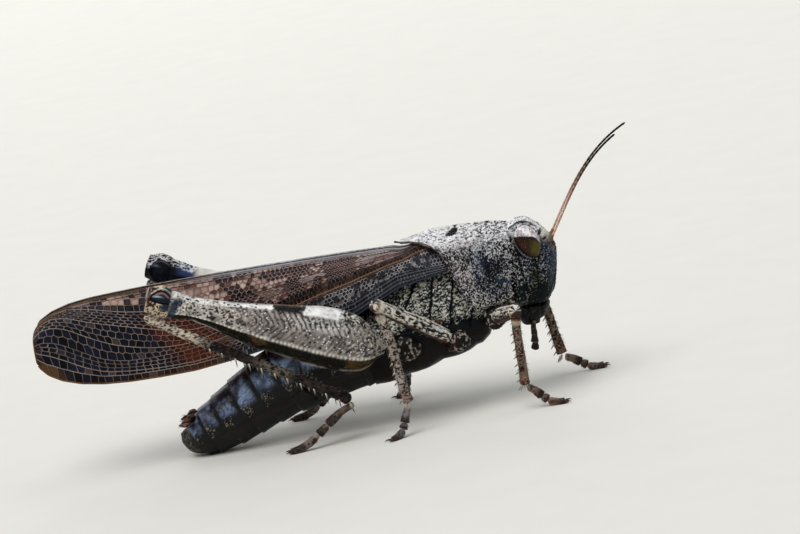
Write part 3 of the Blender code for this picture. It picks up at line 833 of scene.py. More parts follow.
def pronotum_marks(points):
    """Where the pronotum's roof, flat sides, grooves, keel, dark patch and freckles are."""
    x, z, off = side_view(points)
    marks = SimpleNamespace()
    marks.flat_side = ramp(1.2, 1.75, off) * ramp(9.3, 9.0, z)
    marks.roof = 1 - ramp(0.35, -0.25, z - np.interp(x, *np.array(SHOULDER_LINE).T)) * ramp(1.0, 1.6, off)
    marks.groove = line_mark(x, z, PRINCIPAL_GROOVE, 0.055) + line_mark(x, z, FRONT_GROOVE, 0.07)
    marks.keel = hump(off, 0, 0.07) * (1 - 0.6 * hump(x, 7.6, 0.08))
    marks.shoulder = line_mark(x, z, SHOULDER_LINE, 0.1) * ramp(0.9, 1.3, off)
    ragged = 0.16 * (noise(points, 0.22, 64, 2) - 0.5)
    marks.rectangle = (
        band(x + ragged, 8.35, 8.95, 0.08) * band(z + 0.3 * (x - 8.66) + ragged, 6.55, 6.8, 0.07)
    )
    marks.coarse = noise(points, 0.5, 21, 2)
    share = 0.36 + 0.26 * spot(x, z, (8.2, 9.5), (1.0, 0.3))
    marks.speck = freckles(points, 0.17, share, 31, (0.35, 0.6)) * marks.roof
    return marks


def pronotum_pale(points, marks):
    """The share of the pronotum that pale grains cover."""
    x, z, _ = side_view(points)
    pale = (
        0.4 + 0.3 * marks.roof - 0.06 * marks.flat_side + 0.16 * marks.roof * ramp(6.2, 5.2, x)
        - 0.12 * marks.roof * ramp(7.4, 8.4, x)
    )
    pale = (
        pale + 0.26 * line_mark(x, z, [(7.6, 8.72), (9.3, 7.85)], 0.22) * marks.flat_side
        + 0.2 * marks.shoulder
    )
    pale = pale - 0.32 * spot(x, z, (8.7, 7.7), (0.8, 0.5)) - 0.16 * spot(x, z, (8.2, 7.0), (0.7, 0.55))
    pale = pale + 0.1 * spot(x, z, (6.7, 7.6), (0.5, 0.9)) - 0.08 * spot(x, z, (7.6, 7.9), (0.22, 0.6))
    patches = noise(points, 0.75, 63, 2) - 0.5
    pale = (
        pale + 0.12 * marks.lower - 0.3 * np.minimum(marks.groove, 1) + (0.5 - 0.25 * marks.roof) * patches
    )
    pale = pale - 0.3 * line_mark(x, z, [(7.75, 8.2), (7.95, 7.5), (8.1, 7.1)], 0.12)
    return np.clip(pale, 0.09, 1) * (1 - marks.rectangle)


def pronotum_colour(points, marks):
    """Pale grains on a dark ground, then black freckles, a black mark behind and dark rims."""
    x, z, off = side_view(points)
    dark = tint(BLUE_BLACK, BLACK, noise(points, 0.8, 4))
    dark = tint(dark, srgb(44, 56, 78), 0.75 * spot(x, z, (7.55, 7.8), (0.3, 0.6)))
    dark = tint(dark, srgb(42, 56, 76), 0.9 * marks.rectangle)
    roof_ground = tint(srgb(66, 64, 70), srgb(156, 148, 148), ramp(0.3, 0.7, marks.coarse))
    ground = tint(dark, roof_ground, 0.9 * marks.roof + 0.15 * spot(x, z, (6.6, 7.7), (0.6, 1.1)))
    light = tint(
        tint(WHITE, GREY, 0.6 * marks.coarse * (1 - 0.7 * marks.roof)),
        PINK_GREY,
        0.5 * spot(x, z, (6.7, 7.7), (0.6, 1.0)),
    )
    light = layered(
        light,
        (srgb(228, 228, 230), 0.5 * marks.roof),
        (srgb(104, 118, 142), 0.7 * spot(x, z, (7.7, 7.6), (0.45, 1.0)) * (1 - marks.roof)),
        (srgb(136, 136, 142), 0.7 * ramp(7.3, 8.0, x) * ramp(8.5, 7.9, z)),
    )
    colour = tint(ground, light, marks.shag)
    colour = tint(colour, BLACK, 0.97 * marks.speck)
    black_mark = spot(x + 0.25 * (off - 0.7), off, (6.55, 0.6), (0.27, 0.55)) * ramp(8.9, 9.2, z)
    black_mark = black_mark + 0.5 * spot(x, off, (6.2, 1.0), (0.2, 0.2)) * ramp(8.9, 9.2, z)
    return layered(
        colour,
        (BLACK, ramp(0.3, 0.55, black_mark + 0.5 * (noise(points, 0.2, 27, 2) - 0.5))),
        (REAR_RIM_COLOUR, 0.85 * marks.rear * ramp(8.0, 8.6, z)),
        (BLACK, 0.8 * marks.rear * ramp(8.4, 7.8, z)),
        (CREAM, 0.45 * marks.lower * marks.shag),
    )


def pronotum_lift(points, marks):
    """The pronotum's relief: grains, keel, shoulders and grooves."""
    sparse = granular(points, 0.11, 0.2, 9)
    lift = 0.03 * marks.shag * (1 - 0.5 * marks.roof) + 0.012 * sparse - 0.025 * marks.speck
    lift = (
        lift + SHIELD_KEEL * marks.keel + 0.05 * marks.shoulder - 0.09 * np.minimum(marks.groove, 1)
        - 0.03 * marks.rectangle
    )
    return lift + 0.02 * marks.rear + 0.05 * (marks.coarse - 0.5) + 0.03 * marks.lower


# ---------------------------------------------------------------- head

HEAD_MIDDLE = np.array([10.25, 0.0, 7.25])
HEAD_POLE_TILT = math.radians(-30)
EYE_MIDDLE = (10.38, 8.46)
EYE_RIM = (0.65, 0.86)
SOCKET = (0.62, 8.02)
EYE_TILT = math.radians(-22)
EYE_SHARES = np.array([1.0, 1.12, 1.17])  # of the node's box: across, out and along the eye's long axis
EYE_TAPER = 0.14
EYE_LEAN = 0.15


class Ball:
    """The outer surface of some solids seen from a point inside, as radii by angle from a tilted pole."""

    def __init__(self, nodes, middle, tilt, rings=72, around=96, smooth=2):
        self.middle = middle
        self.pole = np.array([math.sin(tilt), 0.0, math.cos(tilt)])
        self.front = np.array([math.cos(tilt), 0.0, -math.sin(tilt)])
        tree = tree_of(*nodes)
        angles = np.linspace(0, math.pi, rings)
        turns = np.linspace(0, math.tau, around, endpoint=False)
        radii = np.array([[reach(tree, middle, self.ray(a, t)) for t in turns] for a in angles])
        radii[0], radii[-1] = np.nanmean(radii[0]), np.nanmean(radii[-1])
        self.radii = smoothed(filled(radii), smooth, wrap=True)

    def ray(self, angle, turn):
        """The direction at an angle from the pole and a turn round it."""
        angle, turn = np.asarray(angle)[..., None], np.asarray(turn)[..., None]
        flat = np.cos(turn) * self.front + np.sin(turn) * np.array([0.0, 1.0, 0.0])
        return np.cos(angle) * self.pole + np.sin(angle) * flat

    def grid(self, rings, around):
        """Points of the surface in rings from pole to pole."""
        angles = np.linspace(0.004, math.pi - 0.004, rings)
        turns = np.linspace(0, 1, around, endpoint=False)
        radii = cubic(self.radii, angles / math.pi * (len(self.radii) - 1), 0)
        radii = cubic(radii, turns * self.radii.shape[1], 1, wrap=True)
        rays = self.ray(angles[:, None], math.tau * turns[None, :])
        return self.middle + radii[..., None] * rays


def eye_share(x, z):
    """How far a place is from the eye's middle, where 1 is the eye's rim, seen from the side."""
    a, b = x - EYE_MIDDLE[0], z - EYE_MIDDLE[1]
    along = a * math.cos(EYE_TILT) - b * math.sin(EYE_TILT)
    up = a * math.sin(EYE_TILT) + b * math.cos(EYE_TILT)
    return np.hypot(along / EYE_RIM[0], up / EYE_RIM[1])


def make_head(rings=262, around=300):
    """The head capsule, and a collar of the same shell that runs back under the saddle."""
    ball = Ball(["head"], HEAD_MIDDLE, HEAD_POLE_TILT, smooth=5)
    points = ball.grid(rings, around)
    shell = Shell(["head"], [(9.6, 0, HEAD_MIDDLE[2]), (10.0, 0, HEAD_MIDDLE[2])], 1, 12, 72, 2)
    ring = shell.grid([0.4], np.linspace(0, 1, around, endpoint=False))[0]
    xs = np.linspace(9.1, 9.9, 36)
    size = np.interp(xs, (9.1, 9.35, 9.6, 9.78, 9.9), (0.93, 0.985, 1.0, 1.0, 0.94))[:, None, None]
    flat = (ring - [0, 0, HEAD_MIDDLE[2]]) * [0, 1, 1]
    collar = flat * size + [0, 0, HEAD_MIDDLE[2]] + xs[:, None, None] * [1, 0, 0]
    piece = Piece("head_capsule")
    for surface in (points, collar):
        colour, lift, rough = head_look(surface)
        piece.grid(lifted(surface, lift, wrap=True), gritty(colour, WHITE, 0.35, 0.14, rough), wrap=True)
    piece.finish(MATERIALS["shell"], ["head"])


def head_look(points):
    """The head's colour, relief and roughness."""
    marks = head_marks(points)
    marks.shag = granular(points, 0.082 + 0.015 * marks.crown[..., None], head_pale(points, marks), 7)
    return head_colour(points, marks), head_lift(points, marks), 0.48 - 0.08 * marks.low


def head_marks(points):
    """Where the head's face, crown, ridges, pits, furrows, eye rim, feeler sockets and freckles are."""
    x, z, off = side_view(points)
    marks = SimpleNamespace()
    marks.face = ramp(10.9, 11.3, x) * ramp(8.9, 8.4, z)
    marks.crown = ramp(8.6, 8.95, z + 0.25 * (x - 10.3))
    marks.side = ramp(0.7, 1.2, off)
    marks.frontal = band(off, 0.0, 0.27, 0.05) * marks.face * ramp(5.2, 5.6, z)
    marks.median_groove = hump(off, 0, 0.09) * marks.face * band(z, 5.4, 8.2, 0.2)
    marks.facial = (
        line_mark(off, z, [(0.72, 7.75), (0.8, 6.8), (1.05, 5.9), (1.2, 5.2)], 0.06) * ramp(10.3, 10.8, x)
    )
    marks.brow = (
        line_mark(x, off, [(11.75, 0.1), (11.3, 0.4), (10.8, 0.55), (9.9, 0.68)], 0.05) * ramp(8.3, 8.6, z)
    )
    marks.pits = spot(x, z, (11.07, 8.76), (0.13, 0.12)) + spot(x, z, (11.3, 8.42), (0.15, 0.08))
    marks.pits = marks.pits * ramp(0.35, 0.5, off)
    marks.furrow = line_mark(x, z, [(10.75, 7.55), (10.55, 6.6), (10.5, 5.4)], 0.05) * marks.side
    marks.rear_furrow = line_mark(x, z, [(9.7, 8.4), (9.75, 7.2), (9.9, 5.8)], 0.07) * marks.side
    socket = np.hypot(off - SOCKET[0], z - SOCKET[1])
    marks.orbit = hump(eye_share(x, z), 1.05, 0.035) * ramp(0.5, 0.8, off)
    marks.ocellus = spot(off, z, (0.0, 7.5), 0.08) * marks.face
    marks.coarse = noise(points, 0.45, 33, 2)
    marks.low = ramp(6.9, 5.8, z)
    marks.ring = hump(socket, 0.25, 0.06) * face_side(x)
    marks.inside = ramp(0.24, 0.18, socket) * face_side(x)
    marks.speck = freckles(points, 0.17, 0.3, 77, (0.35, 0.6)) * marks.crown
    return marks


def head_pale(points, marks):
    """The share of the head that pale grains cover."""
    x = points[..., 0]
    slow = noise(points, 0.8, 35, 2)
    pale = (
        0.2 + 0.4 * marks.crown - 0.15 * marks.low - 0.03 * marks.face
        + 0.08 * ramp(9.95, 9.5, x) * (1 - marks.low)
    )
    pale = pale + 0.35 * (marks.coarse - 0.5) + 0.4 * (slow - 0.5) * (1 - 0.5 * marks.crown)
    return np.clip(pale - 0.35 * marks.pits - 0.25 * (marks.furrow + marks.rear_furrow), 0.02, 1)


def head_ground(points, marks):
    """Pale grains on a dark ground: white on the crown, bluish on the face, ochre on the cheek."""
    x, z, _ = side_view(points)
    dark = tint(
        tint(srgb(14, 17, 25), srgb(11, 19, 20), ramp(7.6, 6.2, z)), SLATE, 0.4 * marks.coarse * marks.face
    )
    ground = tint(dark, tint(srgb(84, 82, 88), srgb(150, 142, 142), marks.coarse), 0.5 * marks.crown)
    light = tint(
        WHITE,
        srgb(112, 116, 126),
        (0.35 + 0.65 * ramp(0.3, 0.7, noise(points, 0.3, 36))) * (1 - marks.crown) * ramp(9.5, 9.9, x),
    )
    light = tint(light, srgb(96, 110, 132), 0.7 * marks.face)
    light = tint(light, srgb(236, 236, 240), 0.7 * marks.crown)
    ochre_share = ramp(0.35, 0.75, spot(x, z, (10.4, 6.6), (0.5, 0.7)) * 1.25 * noise(points, 0.25, 15))
    light = tint(light, srgb(124, 98, 60), 0.85 * ochre_share)
    light = tint(light, tint(srgb(70, 84, 84), OCHRE, 0.4 * marks.coarse), 0.8 * marks.low)
    return tint(ground, light, marks.shag)


def head_colour(points, marks):
    """The ground with a pale brow, an eye rim painted dark as shade in the gap round the eye but pale low
    behind it, black freckles and streak, and brown feeler sockets.
    """
    x, z, off = side_view(points)
    colour = head_ground(points, marks)
    pale_brow = spot(x, z, (11.4, 8.6), (0.35, 0.25)) + marks.brow
    colour = tint(colour, srgb(226, 222, 208), 0.85 * np.clip(pale_brow, 0, 1) * (1 - 0.4 * marks.coarse))
    rear_side = ramp(10.5, 10.1, x) * ramp(8.9, 8.6, z)
    # Painted shade: a dark band just inside the top of the eye's rim, in the gap between brow and eye.
    eye_gap_shade = band(eye_share(x, z), 0.9, 0.95, 0.04) * ramp(8.5, 8.8, z) * ramp(0.3, 0.6, off)
    colour = tint(colour, srgb(44, 42, 50), 0.85 * eye_gap_shade)
    # The eye's ring: painted shade of the gap round the eye, dark except low behind the eye, where it is
    # pale.
    rim = tint(srgb(12, 12, 15), srgb(158, 162, 180), rear_side)
    colour = tint(colour, rim, (0.7 - 0.2 * marks.crown) * marks.orbit)
    streak = (
        line_mark(x, z, [(9.5, 9.2), (10.0, 9.34), (10.5, 9.28), (10.95, 9.0)], 0.05)
        * band(off, 0.6, 1.1, 0.1)
    )
    colour = tint(
        colour, BLACK, np.clip(0.9 * marks.speck + 0.95 * ramp(0.3, 0.7, marks.pits) + 0.97 * streak, 0, 1)
    )
    stripe = line_mark(x, z, [(9.2, 9.0), (9.8, 8.9)], 0.1) * marks.side
    colour = layered(
        colour,
        (WHITE, 0.9 * stripe),
        (srgb(126, 96, 70), 0.7 * marks.ring),
        (BLACK, 0.8 * marks.inside),
    )
    below_socket = ramp(0.35, 0.7, spot(off, z, (0.8, 7.7), (0.11, 0.13))) * face_side(x)
    colour = tint(colour, srgb(132, 100, 70), 0.85 * below_socket)
    return tint(colour, OCHRE, 0.8 * marks.ocellus)


def head_lift(points, marks):
    """The head's relief: grains, ridges, grooves, pits, sockets and the swollen brow and crown."""
    x, z, _ = side_view(points)
    lift = (
        0.026 * marks.shag * (1 - 0.4 * marks.crown) + 0.04 * (marks.coarse - 0.5) - 0.02 * marks.speck
        - 0.02
    )
    lift = (
        lift + 0.07 * marks.frontal - 0.07 * marks.median_groove + 0.05 * marks.facial + 0.06 * marks.brow
        - 0.1 * np.minimum(marks.pits, 1)
    )
    lift = (
        lift - 0.06 * marks.furrow - 0.04 * marks.rear_furrow + 0.06 * marks.ring
        - 0.06 * marks.inside + 0.05 * marks.ocellus + 0.05 * marks.orbit
    )
    lift = (
        lift + 0.06 * spot(x, z, (11.05, 9.0), (0.35, 0.3))
        + 0.1 * band(x, 9.6, 10.9, 0.35) * ramp(9.05, 9.3, z)
    )
    return lift


def face_side(x):
    """1 on the front of the head, 0 behind it."""
    return ramp(10.9, 11.15, x)


def eye_oval(name, rings, around):
    """An oval as large as the eye's node, leaning as the eye does and narrower below."""
    corners, _ = solid(name)
    low, high = corners.min(axis=0), corners.max(axis=0)
    half = EYE_SHARES * (high - low) / 2
    polar = np.linspace(0.02, math.pi - 0.02, rings)[:, None]
    turn = math.tau * np.arange(around)[None, :] / around
    width = np.sin(polar) * (1 + EYE_TAPER * np.cos(polar))
    along, out = half[0] * width * np.cos(turn), half[1] * width * np.sin(turn)
    up = half[2] * np.cos(polar) + 0 * turn
    out = out - math.copysign(EYE_LEAN, low[1] + high[1]) * np.cos(polar)
    x = along * math.cos(EYE_TILT) + up * math.sin(EYE_TILT)
    z = up * math.cos(EYE_TILT) - along * math.sin(EYE_TILT)
    return np.stack([EYE_MIDDLE[0] + x, (low[1] + high[1]) / 2 + out, EYE_MIDDLE[1] + z], axis=2)


def make_eye(side, rings=90, around=120):
    """A compound eye: pale freckled cap over a glossy dark brown and olive lower part."""
    name = f"eye_{side}"
    points = eye_oval(name, rings, around)
    x, z = points[..., 0], points[..., 2]
    line = z - np.interp(x, [9.8, 10.1, 10.4, 10.7, 10.85, 11.0], [8.86, 8.87, 8.82, 8.72, 8.6, 8.32])
    cap = ramp(-0.03, 0.05, line + 0.06 * (noise(points, 0.12, 5) - 0.5))
    olive = ramp(0.1, 0.9, spot(x, z, (10.76, 8.12), (0.36, 0.55)) * (0.6 + 0.7 * noise(points, 0.2, 7)))
    brown = tint(srgb(20, 10, 6), srgb(56, 30, 14), noise(points, 0.22, 6, 2))
    dark = tint(brown, srgb(82, 74, 16), 0.85 * olive)
    dark = tint(dark, BLACK, 0.85 * hump(line, -0.06, 0.07))
    pale = tint(srgb(240, 236, 238), srgb(172, 160, 166), ramp(0.3, 0.7, noise(points, 0.16, 8, 2)))
    colour = tint(dark, pale, cap)
    over = tint(srgb(104, 68, 32), srgb(96, 84, 90), cap)
    piece = Piece(f"compound_{name}")
    piece.grid(points, look(colour, over, 0.24 + 0.12 * cap, 0.24 + 0.3 * cap), wrap=True)
    piece.finish(MATERIALS["eye"], [name])


def make_mouthparts(rings=110, around=150):
    """Upper lip, jaws and lower lip, in one dark glossy body with grooves between them."""
    points, _ = solid("mouthparts")
    middle = (points.min(axis=0) + points.max(axis=0)) / 2
    ball = Ball(["mouthparts"], middle, 0.0, 48, 64, 3)
    points = ball.grid(rings, around)
    x, z, off = side_view(points)
    lip_edge = line_mark(
        x, z, [(middle[0] + 0.45, 5.1), (middle[0] + 0.35, 4.2), (middle[0] + 0.2, 3.7)], 0.06
    )
    jaw_edge = line_mark(
        x, z, [(middle[0] - 0.35, 5.1), (middle[0] - 0.3, 4.2), (middle[0] - 0.1, 3.7)], 0.06
    )
    front = ramp(middle[0] + 0.3, middle[0] + 0.6, x)
    notch = hump(off, 0, 0.06) * ramp(4.35, 4.1, z)
    fold = hump(z, 4.5, 0.05) * front
    coarse = noise(points, 0.3, 12, 2)
    lift = 0.05 * coarse - 0.09 * (lip_edge + jaw_edge) - 0.08 * notch - 0.06 * fold
    colour = tint(srgb(7, 11, 12), srgb(17, 24, 25), coarse)
    colour = tint(colour, tint(OCHRE, SHEEN_BLUE, coarse), 0.12 * granular(points, 0.09, 0.14, 2))
    piece = Piece("mouth_plates")
    piece.grid(lifted(points, lift, wrap=True), look(colour, srgb(36, 48, 50), 0.12, 0.42), wrap=True)
    piece.finish(MATERIALS["limb"], ["mouthparts"])


def tube_grid(line, radii, around=24, flat=1.0):
    """A grid of rings round a bent line. flat narrows each ring across the line's own sideways direction."""
    along = unit(np.gradient(line, axis=0))
    across = unit(np.cross(along, UP))
    other = np.cross(along, across)
    turn = math.tau * np.arange(around) / around
    ring = across[:, None] * np.cos(turn)[:, None] * flat + other[:, None] * np.sin(turn)[:, None]
    return line[:, None] + ring * np.asarray(radii)[:, None, None]


def thickness_of(nodes, line, steps=9):
    """A tube's own radius at each step along its line: the mean distance of its corners from it."""
    points, _ = solid(*nodes)
    near = np.linalg.norm(points[:, None] - line[None], axis=2)
    place, distance = near.argmin(axis=1) / (len(line) - 1), near.min(axis=1)
    bins = np.linspace(0, 1, steps)
    weight = np.exp(-(((place[:, None] - bins) / 0.08) ** 2)) + 1e-6
    return np.interp(
        np.linspace(0, 1, len(line)), bins, (weight * distance[:, None]).sum(0) / weight.sum(0)
    )


FEELER_SEGMENTS = 23
FEELER_SLIMNESS = 0.21
FEELER_RINGS = 20
PALP_SLIMNESS = 0.55
# The line of each starts near its root, which is given for the left side.
ANTENNA_ROOT = (11.4, 0.6, 8.0)
PALP_ROOT = (9.85, 0.6, 4.35)
CERCUS_ROOT = (-8.5, 0.5, 2.0)


def on_side(place, side):
    """A place given for the left side, on the side named."""
    x, y, z = place
    return np.array([x, y * SIDES[side], z])


def make_antenna(side):
    """A feeler: a stout base and a ring, then short segments, pale near the head with a painted highlight
    along its -Y side, and black beyond.
    """
    name = f"antenna_{side}"
    steps = FEELER_SEGMENTS * 9 + 1
    line = axis_of(name, on_side(ANTENNA_ROOT, side), steps)
    share = np.linspace(0, 1, steps)
    place = share * FEELER_SEGMENTS
    part = place - np.floor(place)
    radius = thickness_of([name], line)
    swell = 0.95 + 0.1 * part - 0.12 * hump(part, 0.0, 0.06) - 0.12 * hump(part, 1.0, 0.06)
    base = 1 + 0.9 * band(share, 0.0, 0.035, 0.008) + 0.4 * band(share, 0.04, 0.06, 0.006)
    radius = FEELER_SLIMNESS * radius * swell * base * ramp(1.008, 0.985, share)
    points = tube_grid(line, radius, FEELER_RINGS, 0.86)
    patch = noise(points, 0.12, 3)
    upper = ramp(-0.4, 0.6, np.cos(math.tau * np.arange(FEELER_RINGS) / FEELER_RINGS))[None, :]
    colour = tint(
        srgb(150, 104, 82), srgb(104, 70, 56), ramp(0.1, 0.45, share[:, None] + 0.12 * (patch - 0.5))
    )
    colour = layered(
        colour,
        # Painted highlight along the feeler's -Y side, near the head.
        (srgb(214, 178, 156), 0.7 * upper * ramp(0.5, 0.2, share)[:, None]),
        (srgb(30, 22, 22), ramp(0.4, 0.68, share[:, None] + 0.1 * (patch - 0.5))),
        (srgb(28, 18, 16), 0.6 * hump(part, 0.0, 0.12)[:, None]),
        (srgb(196, 160, 128), 0.5 * hump(part, 0.85, 0.1)[:, None] * ramp(0.9, 0.5, share)[:, None]),
        (tint(srgb(64, 48, 38), srgb(128, 100, 80), patch), 0.85 * ramp(0.07, 0.05, share)[:, None]),
    )
    piece = Piece(f"feeler_{side}")
    piece.grid(points, look(colour, tint(colour, TAN, 0.5), 0.15, 0.5), wrap=True, caps=(0, -1))
    piece.finish(MATERIALS["limb"], [name])


def make_palp(side, segments=4):
    """A feeler of the mouth: four dark segments, the last one swollen."""
    name = f"palp_{side}"
    steps = 90
    line = axis_of(name, on_side(PALP_ROOT, side), steps)
    share = np.linspace(0, 1, steps)
    part = share * segments % 1.0
    radius = PALP_SLIMNESS * thickness_of([name], line)
    radius = radius * (1.05 - 0.3 * hump(part, 0, 0.08) - 0.3 * hump(part, 1, 0.08))
    radius = radius * (1 + 0.35 * ramp(0.75, 0.95, share)) * ramp(1.02, 0.97, share)
    points = tube_grid(line, radius, 20)
    patch = noise(points, 0.15, 9)
    colour = tint(srgb(20, 20, 22), srgb(64, 52, 48), 0.6 * patch)
    colour = tint(colour, TAN, 0.3 * hump(part, 0, 0.1)[:, None])
    piece = Piece(f"mouth_{name}")
    piece.grid(points, look(colour, GREY, 0.15, 0.4), wrap=True, caps=(0, -1))
    piece.finish(MATERIALS["limb"], [name])


# ---------------------------------------------------------------- thorax

THORAX_SUTURES = [
    [(4.45, 8.1), (4.13, 7.58), (3.83, 7.08), (3.45, 6.4), (3.2, 5.2)],
    [(5.15, 8.1), (5.04, 7.69), (4.89, 6.74), (4.6, 5.6), (4.4, 5.0)],
    [(6.25, 7.9), (6.16, 7.48), (5.92, 6.55), (5.69, 5.33), (5.6, 4.9)],
    [(7.2, 5.9), (6.8, 5.3), (6.6, 4.6)],
]
THORAX_BAND = [(2.9, 5.0), (4.3, 5.0), (5.5, 5.0), (6.8, 4.9)]


def make_thorax(rows=210, columns=330):
    """Side plates between dark seams with cream winding ridges, over a glossy breast made near-black with
    painted shade.
    """
    line = middle_line(["thorax"], np.linspace(1.02, 9.08, 40))
    shell = Shell(["thorax"], line, 1, 72, 72, 2, upright=True)
    points = shell.grid(*grid_shares(rows, columns))
    x, z, off = side_view(points)
    bent = x + 0.22 * (noise(points, 0.5, 71, 2) - 0.5)
    seams = sum(line_mark(bent, z, path, 0.06) for path in THORAX_SUTURES) * ramp(0.7, 1.1, off)
    level = line_mark(x, z, THORAX_BAND, 0.1) * ramp(0.8, 1.2, off)
    plate = ramp(4.75, 5.25, z) * ramp(0.9, 1.3, off)
    slanted = points @ np.array([[0.7, 0, 0], [0, 1.0, 0], [0.35, 0, 1.4]])
    coarse = noise(points, 0.5, 8, 2)
    share = 0.33 + 0.6 * (coarse - 0.5) + 0.3 * (noise(points, 1.1, 52) - 0.5)
    ridge = granular(slanted, 0.088, np.clip(share * plate - 0.5 * seams, 0, 1), 51)
    ridge = np.maximum(
        ridge, ramp(0.5, 0.9, spot(x, z, (4.5, 7.25), (0.35, 0.18)) * (0.5 + coarse)) * plate
    )
    breast = ramp(4.9, 4.3, z)
    ground = tint(srgb(11, 19, 22), srgb(40, 50, 58), 0.6 * coarse * plate)
    # Painted shade: the breast, which faces down, made near-black.
    ground = tint(ground, tint(BLACK, srgb(40, 30, 24), 0.5 * coarse), breast)
    cream = tint(srgb(222, 221, 210), srgb(150, 146, 126), 0.7 * noise(points, 0.3, 12))
    colour = tint(ground, cream, 0.92 * ridge)
    colour = layered(
        colour,
        (BLACK, 0.96 * np.minimum(seams, 1)),
        (RUST, 0.35 * ramp(0.4, 0.8, spot(x, z, (5.0, 5.25), (0.5, 0.25)) * 1.3 * coarse + 0.1)),
        (srgb(100, 116, 134), 0.8 * ramp(7.75, 8.05, z) * ramp(3.5, 4.2, x)),
    )
    lift = 0.05 * ridge - 0.12 * np.minimum(seams, 1) - 0.1 * level + 0.05 * (coarse - 0.5)
    lobes = 0.12 * np.abs(np.sin((x - 1.0) * 1.65)) * breast
    lift = lift + lobes - 0.05 * hump(points[..., 1], 0, 0.08) * breast
    piece = Piece("thorax_plates")
    body = lifted(points, lift - 0.02, wrap=True)
    piece.grid(body, gritty(colour, CREAM, 0.35, 0.12, 0.42 - 0.2 * breast), wrap=True, caps=(0, -1))
    piece.finish(MATERIALS["shell"], ["thorax"])


# ---------------------------------------------------------------- abdomen

ABDOMEN_RINGS = [0.0, 0.13, 0.25, 0.36, 0.47, 0.58, 0.685, 0.785, 0.87, 0.935, 1.0]
TERGITE_LIP = 0.085
TIP_START = 0.895
FRONT_REACH = 2.4
BACK_SWELL = 0.3


def abdomen_line(nodes):
    """The abdomen's middle line from the first place where its section is whole to its tip."""
    low = min(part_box(name)[0][0] for name in nodes) / MM
    high = max(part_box(name)[1][0] for name in nodes) / MM
    return middle_line(nodes, np.linspace(high - 1.6, low + 0.12, 40))


def make_abdomen(rows=360, columns=240):
    """Overlapping glossy blue-black rings with a soft pleat along each side, to a rounded speckled tip."""
    nodes = ["abdomen_front", "abdomen_middle", "abdomen_end"]
    shell = Shell(nodes, abdomen_line(nodes), 1, 72, 60, 3)
    shares, turns = grid_shares(rows, columns)
    inside = shares * (shell.length + FRONT_REACH) - FRONT_REACH
    points = shell.grid(np.maximum(inside, 0) / shell.length, turns)
    points = points + unit(shell.centre[0] - shell.centre[4]) * np.maximum(-inside, 0)[:, None, None]
    centre = points.mean(axis=1, keepdims=True)
    tight = np.sqrt(np.clip(1 - (np.clip(shares - TIP_START, 0, 1) / (1.004 - TIP_START)) ** 2.4, 0, 1))
    points = (
        centre + (points - centre) * (tight * np.interp(shares, (0.0, 0.12), (0.93, 1.0)))[:, None, None]
    )
    from_top = np.minimum(turns, 1 - turns)[None, :] * 2 + 0 * shares[:, None]
    place = (
        np.interp(shares, ABDOMEN_RINGS, range(len(ABDOMEN_RINGS)))[:, None]
        + 0.12 * ramp(0.25, 0.8, from_top)
    )
    part = place - np.floor(place)
    lip = part**1.5 * ramp(1.0, 0.955, part)
    pleat = band(from_top, 0.6, 0.7, 0.02)
    coarse = noise(points, 0.6, 3, 2)
    tip = ramp(0.93, 0.96, shares)[:, None]
    fine = granular(points, 0.1, 0.5, 6)
    lift = (
        TERGITE_LIP * (lip - 0.4) * ramp(1.02, 0.98, shares)[:, None] - 0.09 * pleat
        + 0.03 * hump(from_top, 0.595, 0.02)
    )
    lift = lift + BACK_SWELL * hump(shares, 0.43, 0.17)[:, None] * ramp(0.5, 0.15, from_top)
    lift = lift * (1 - 0.6 * tip) + 0.03 * (coarse - 0.5) + 0.012 * fine + 0.02 * hump(from_top, 0.0, 0.012)
    colour = tint(
        ring_colour(points, from_top, part, coarse, fine), tip_colour(points, from_top, coarse), 0.9 * tip
    )
    rough = (
        0.28 + 0.14 * ramp(0.9, 0.98, part) + 0.2 * pleat + 0.1 * coarse + 0.15 * ramp(0.68, 0.76, from_top)
    )
    piece = Piece("abdomen_rings")
    body = lifted(points, lift - 0.03, wrap=True)
    piece.grid(body, gritty(colour, SHEEN_BLUE, 0.35, 0.12, rough), wrap=True, caps=(0, -1))
    piece.finish(MATERIALS["gloss"], nodes)


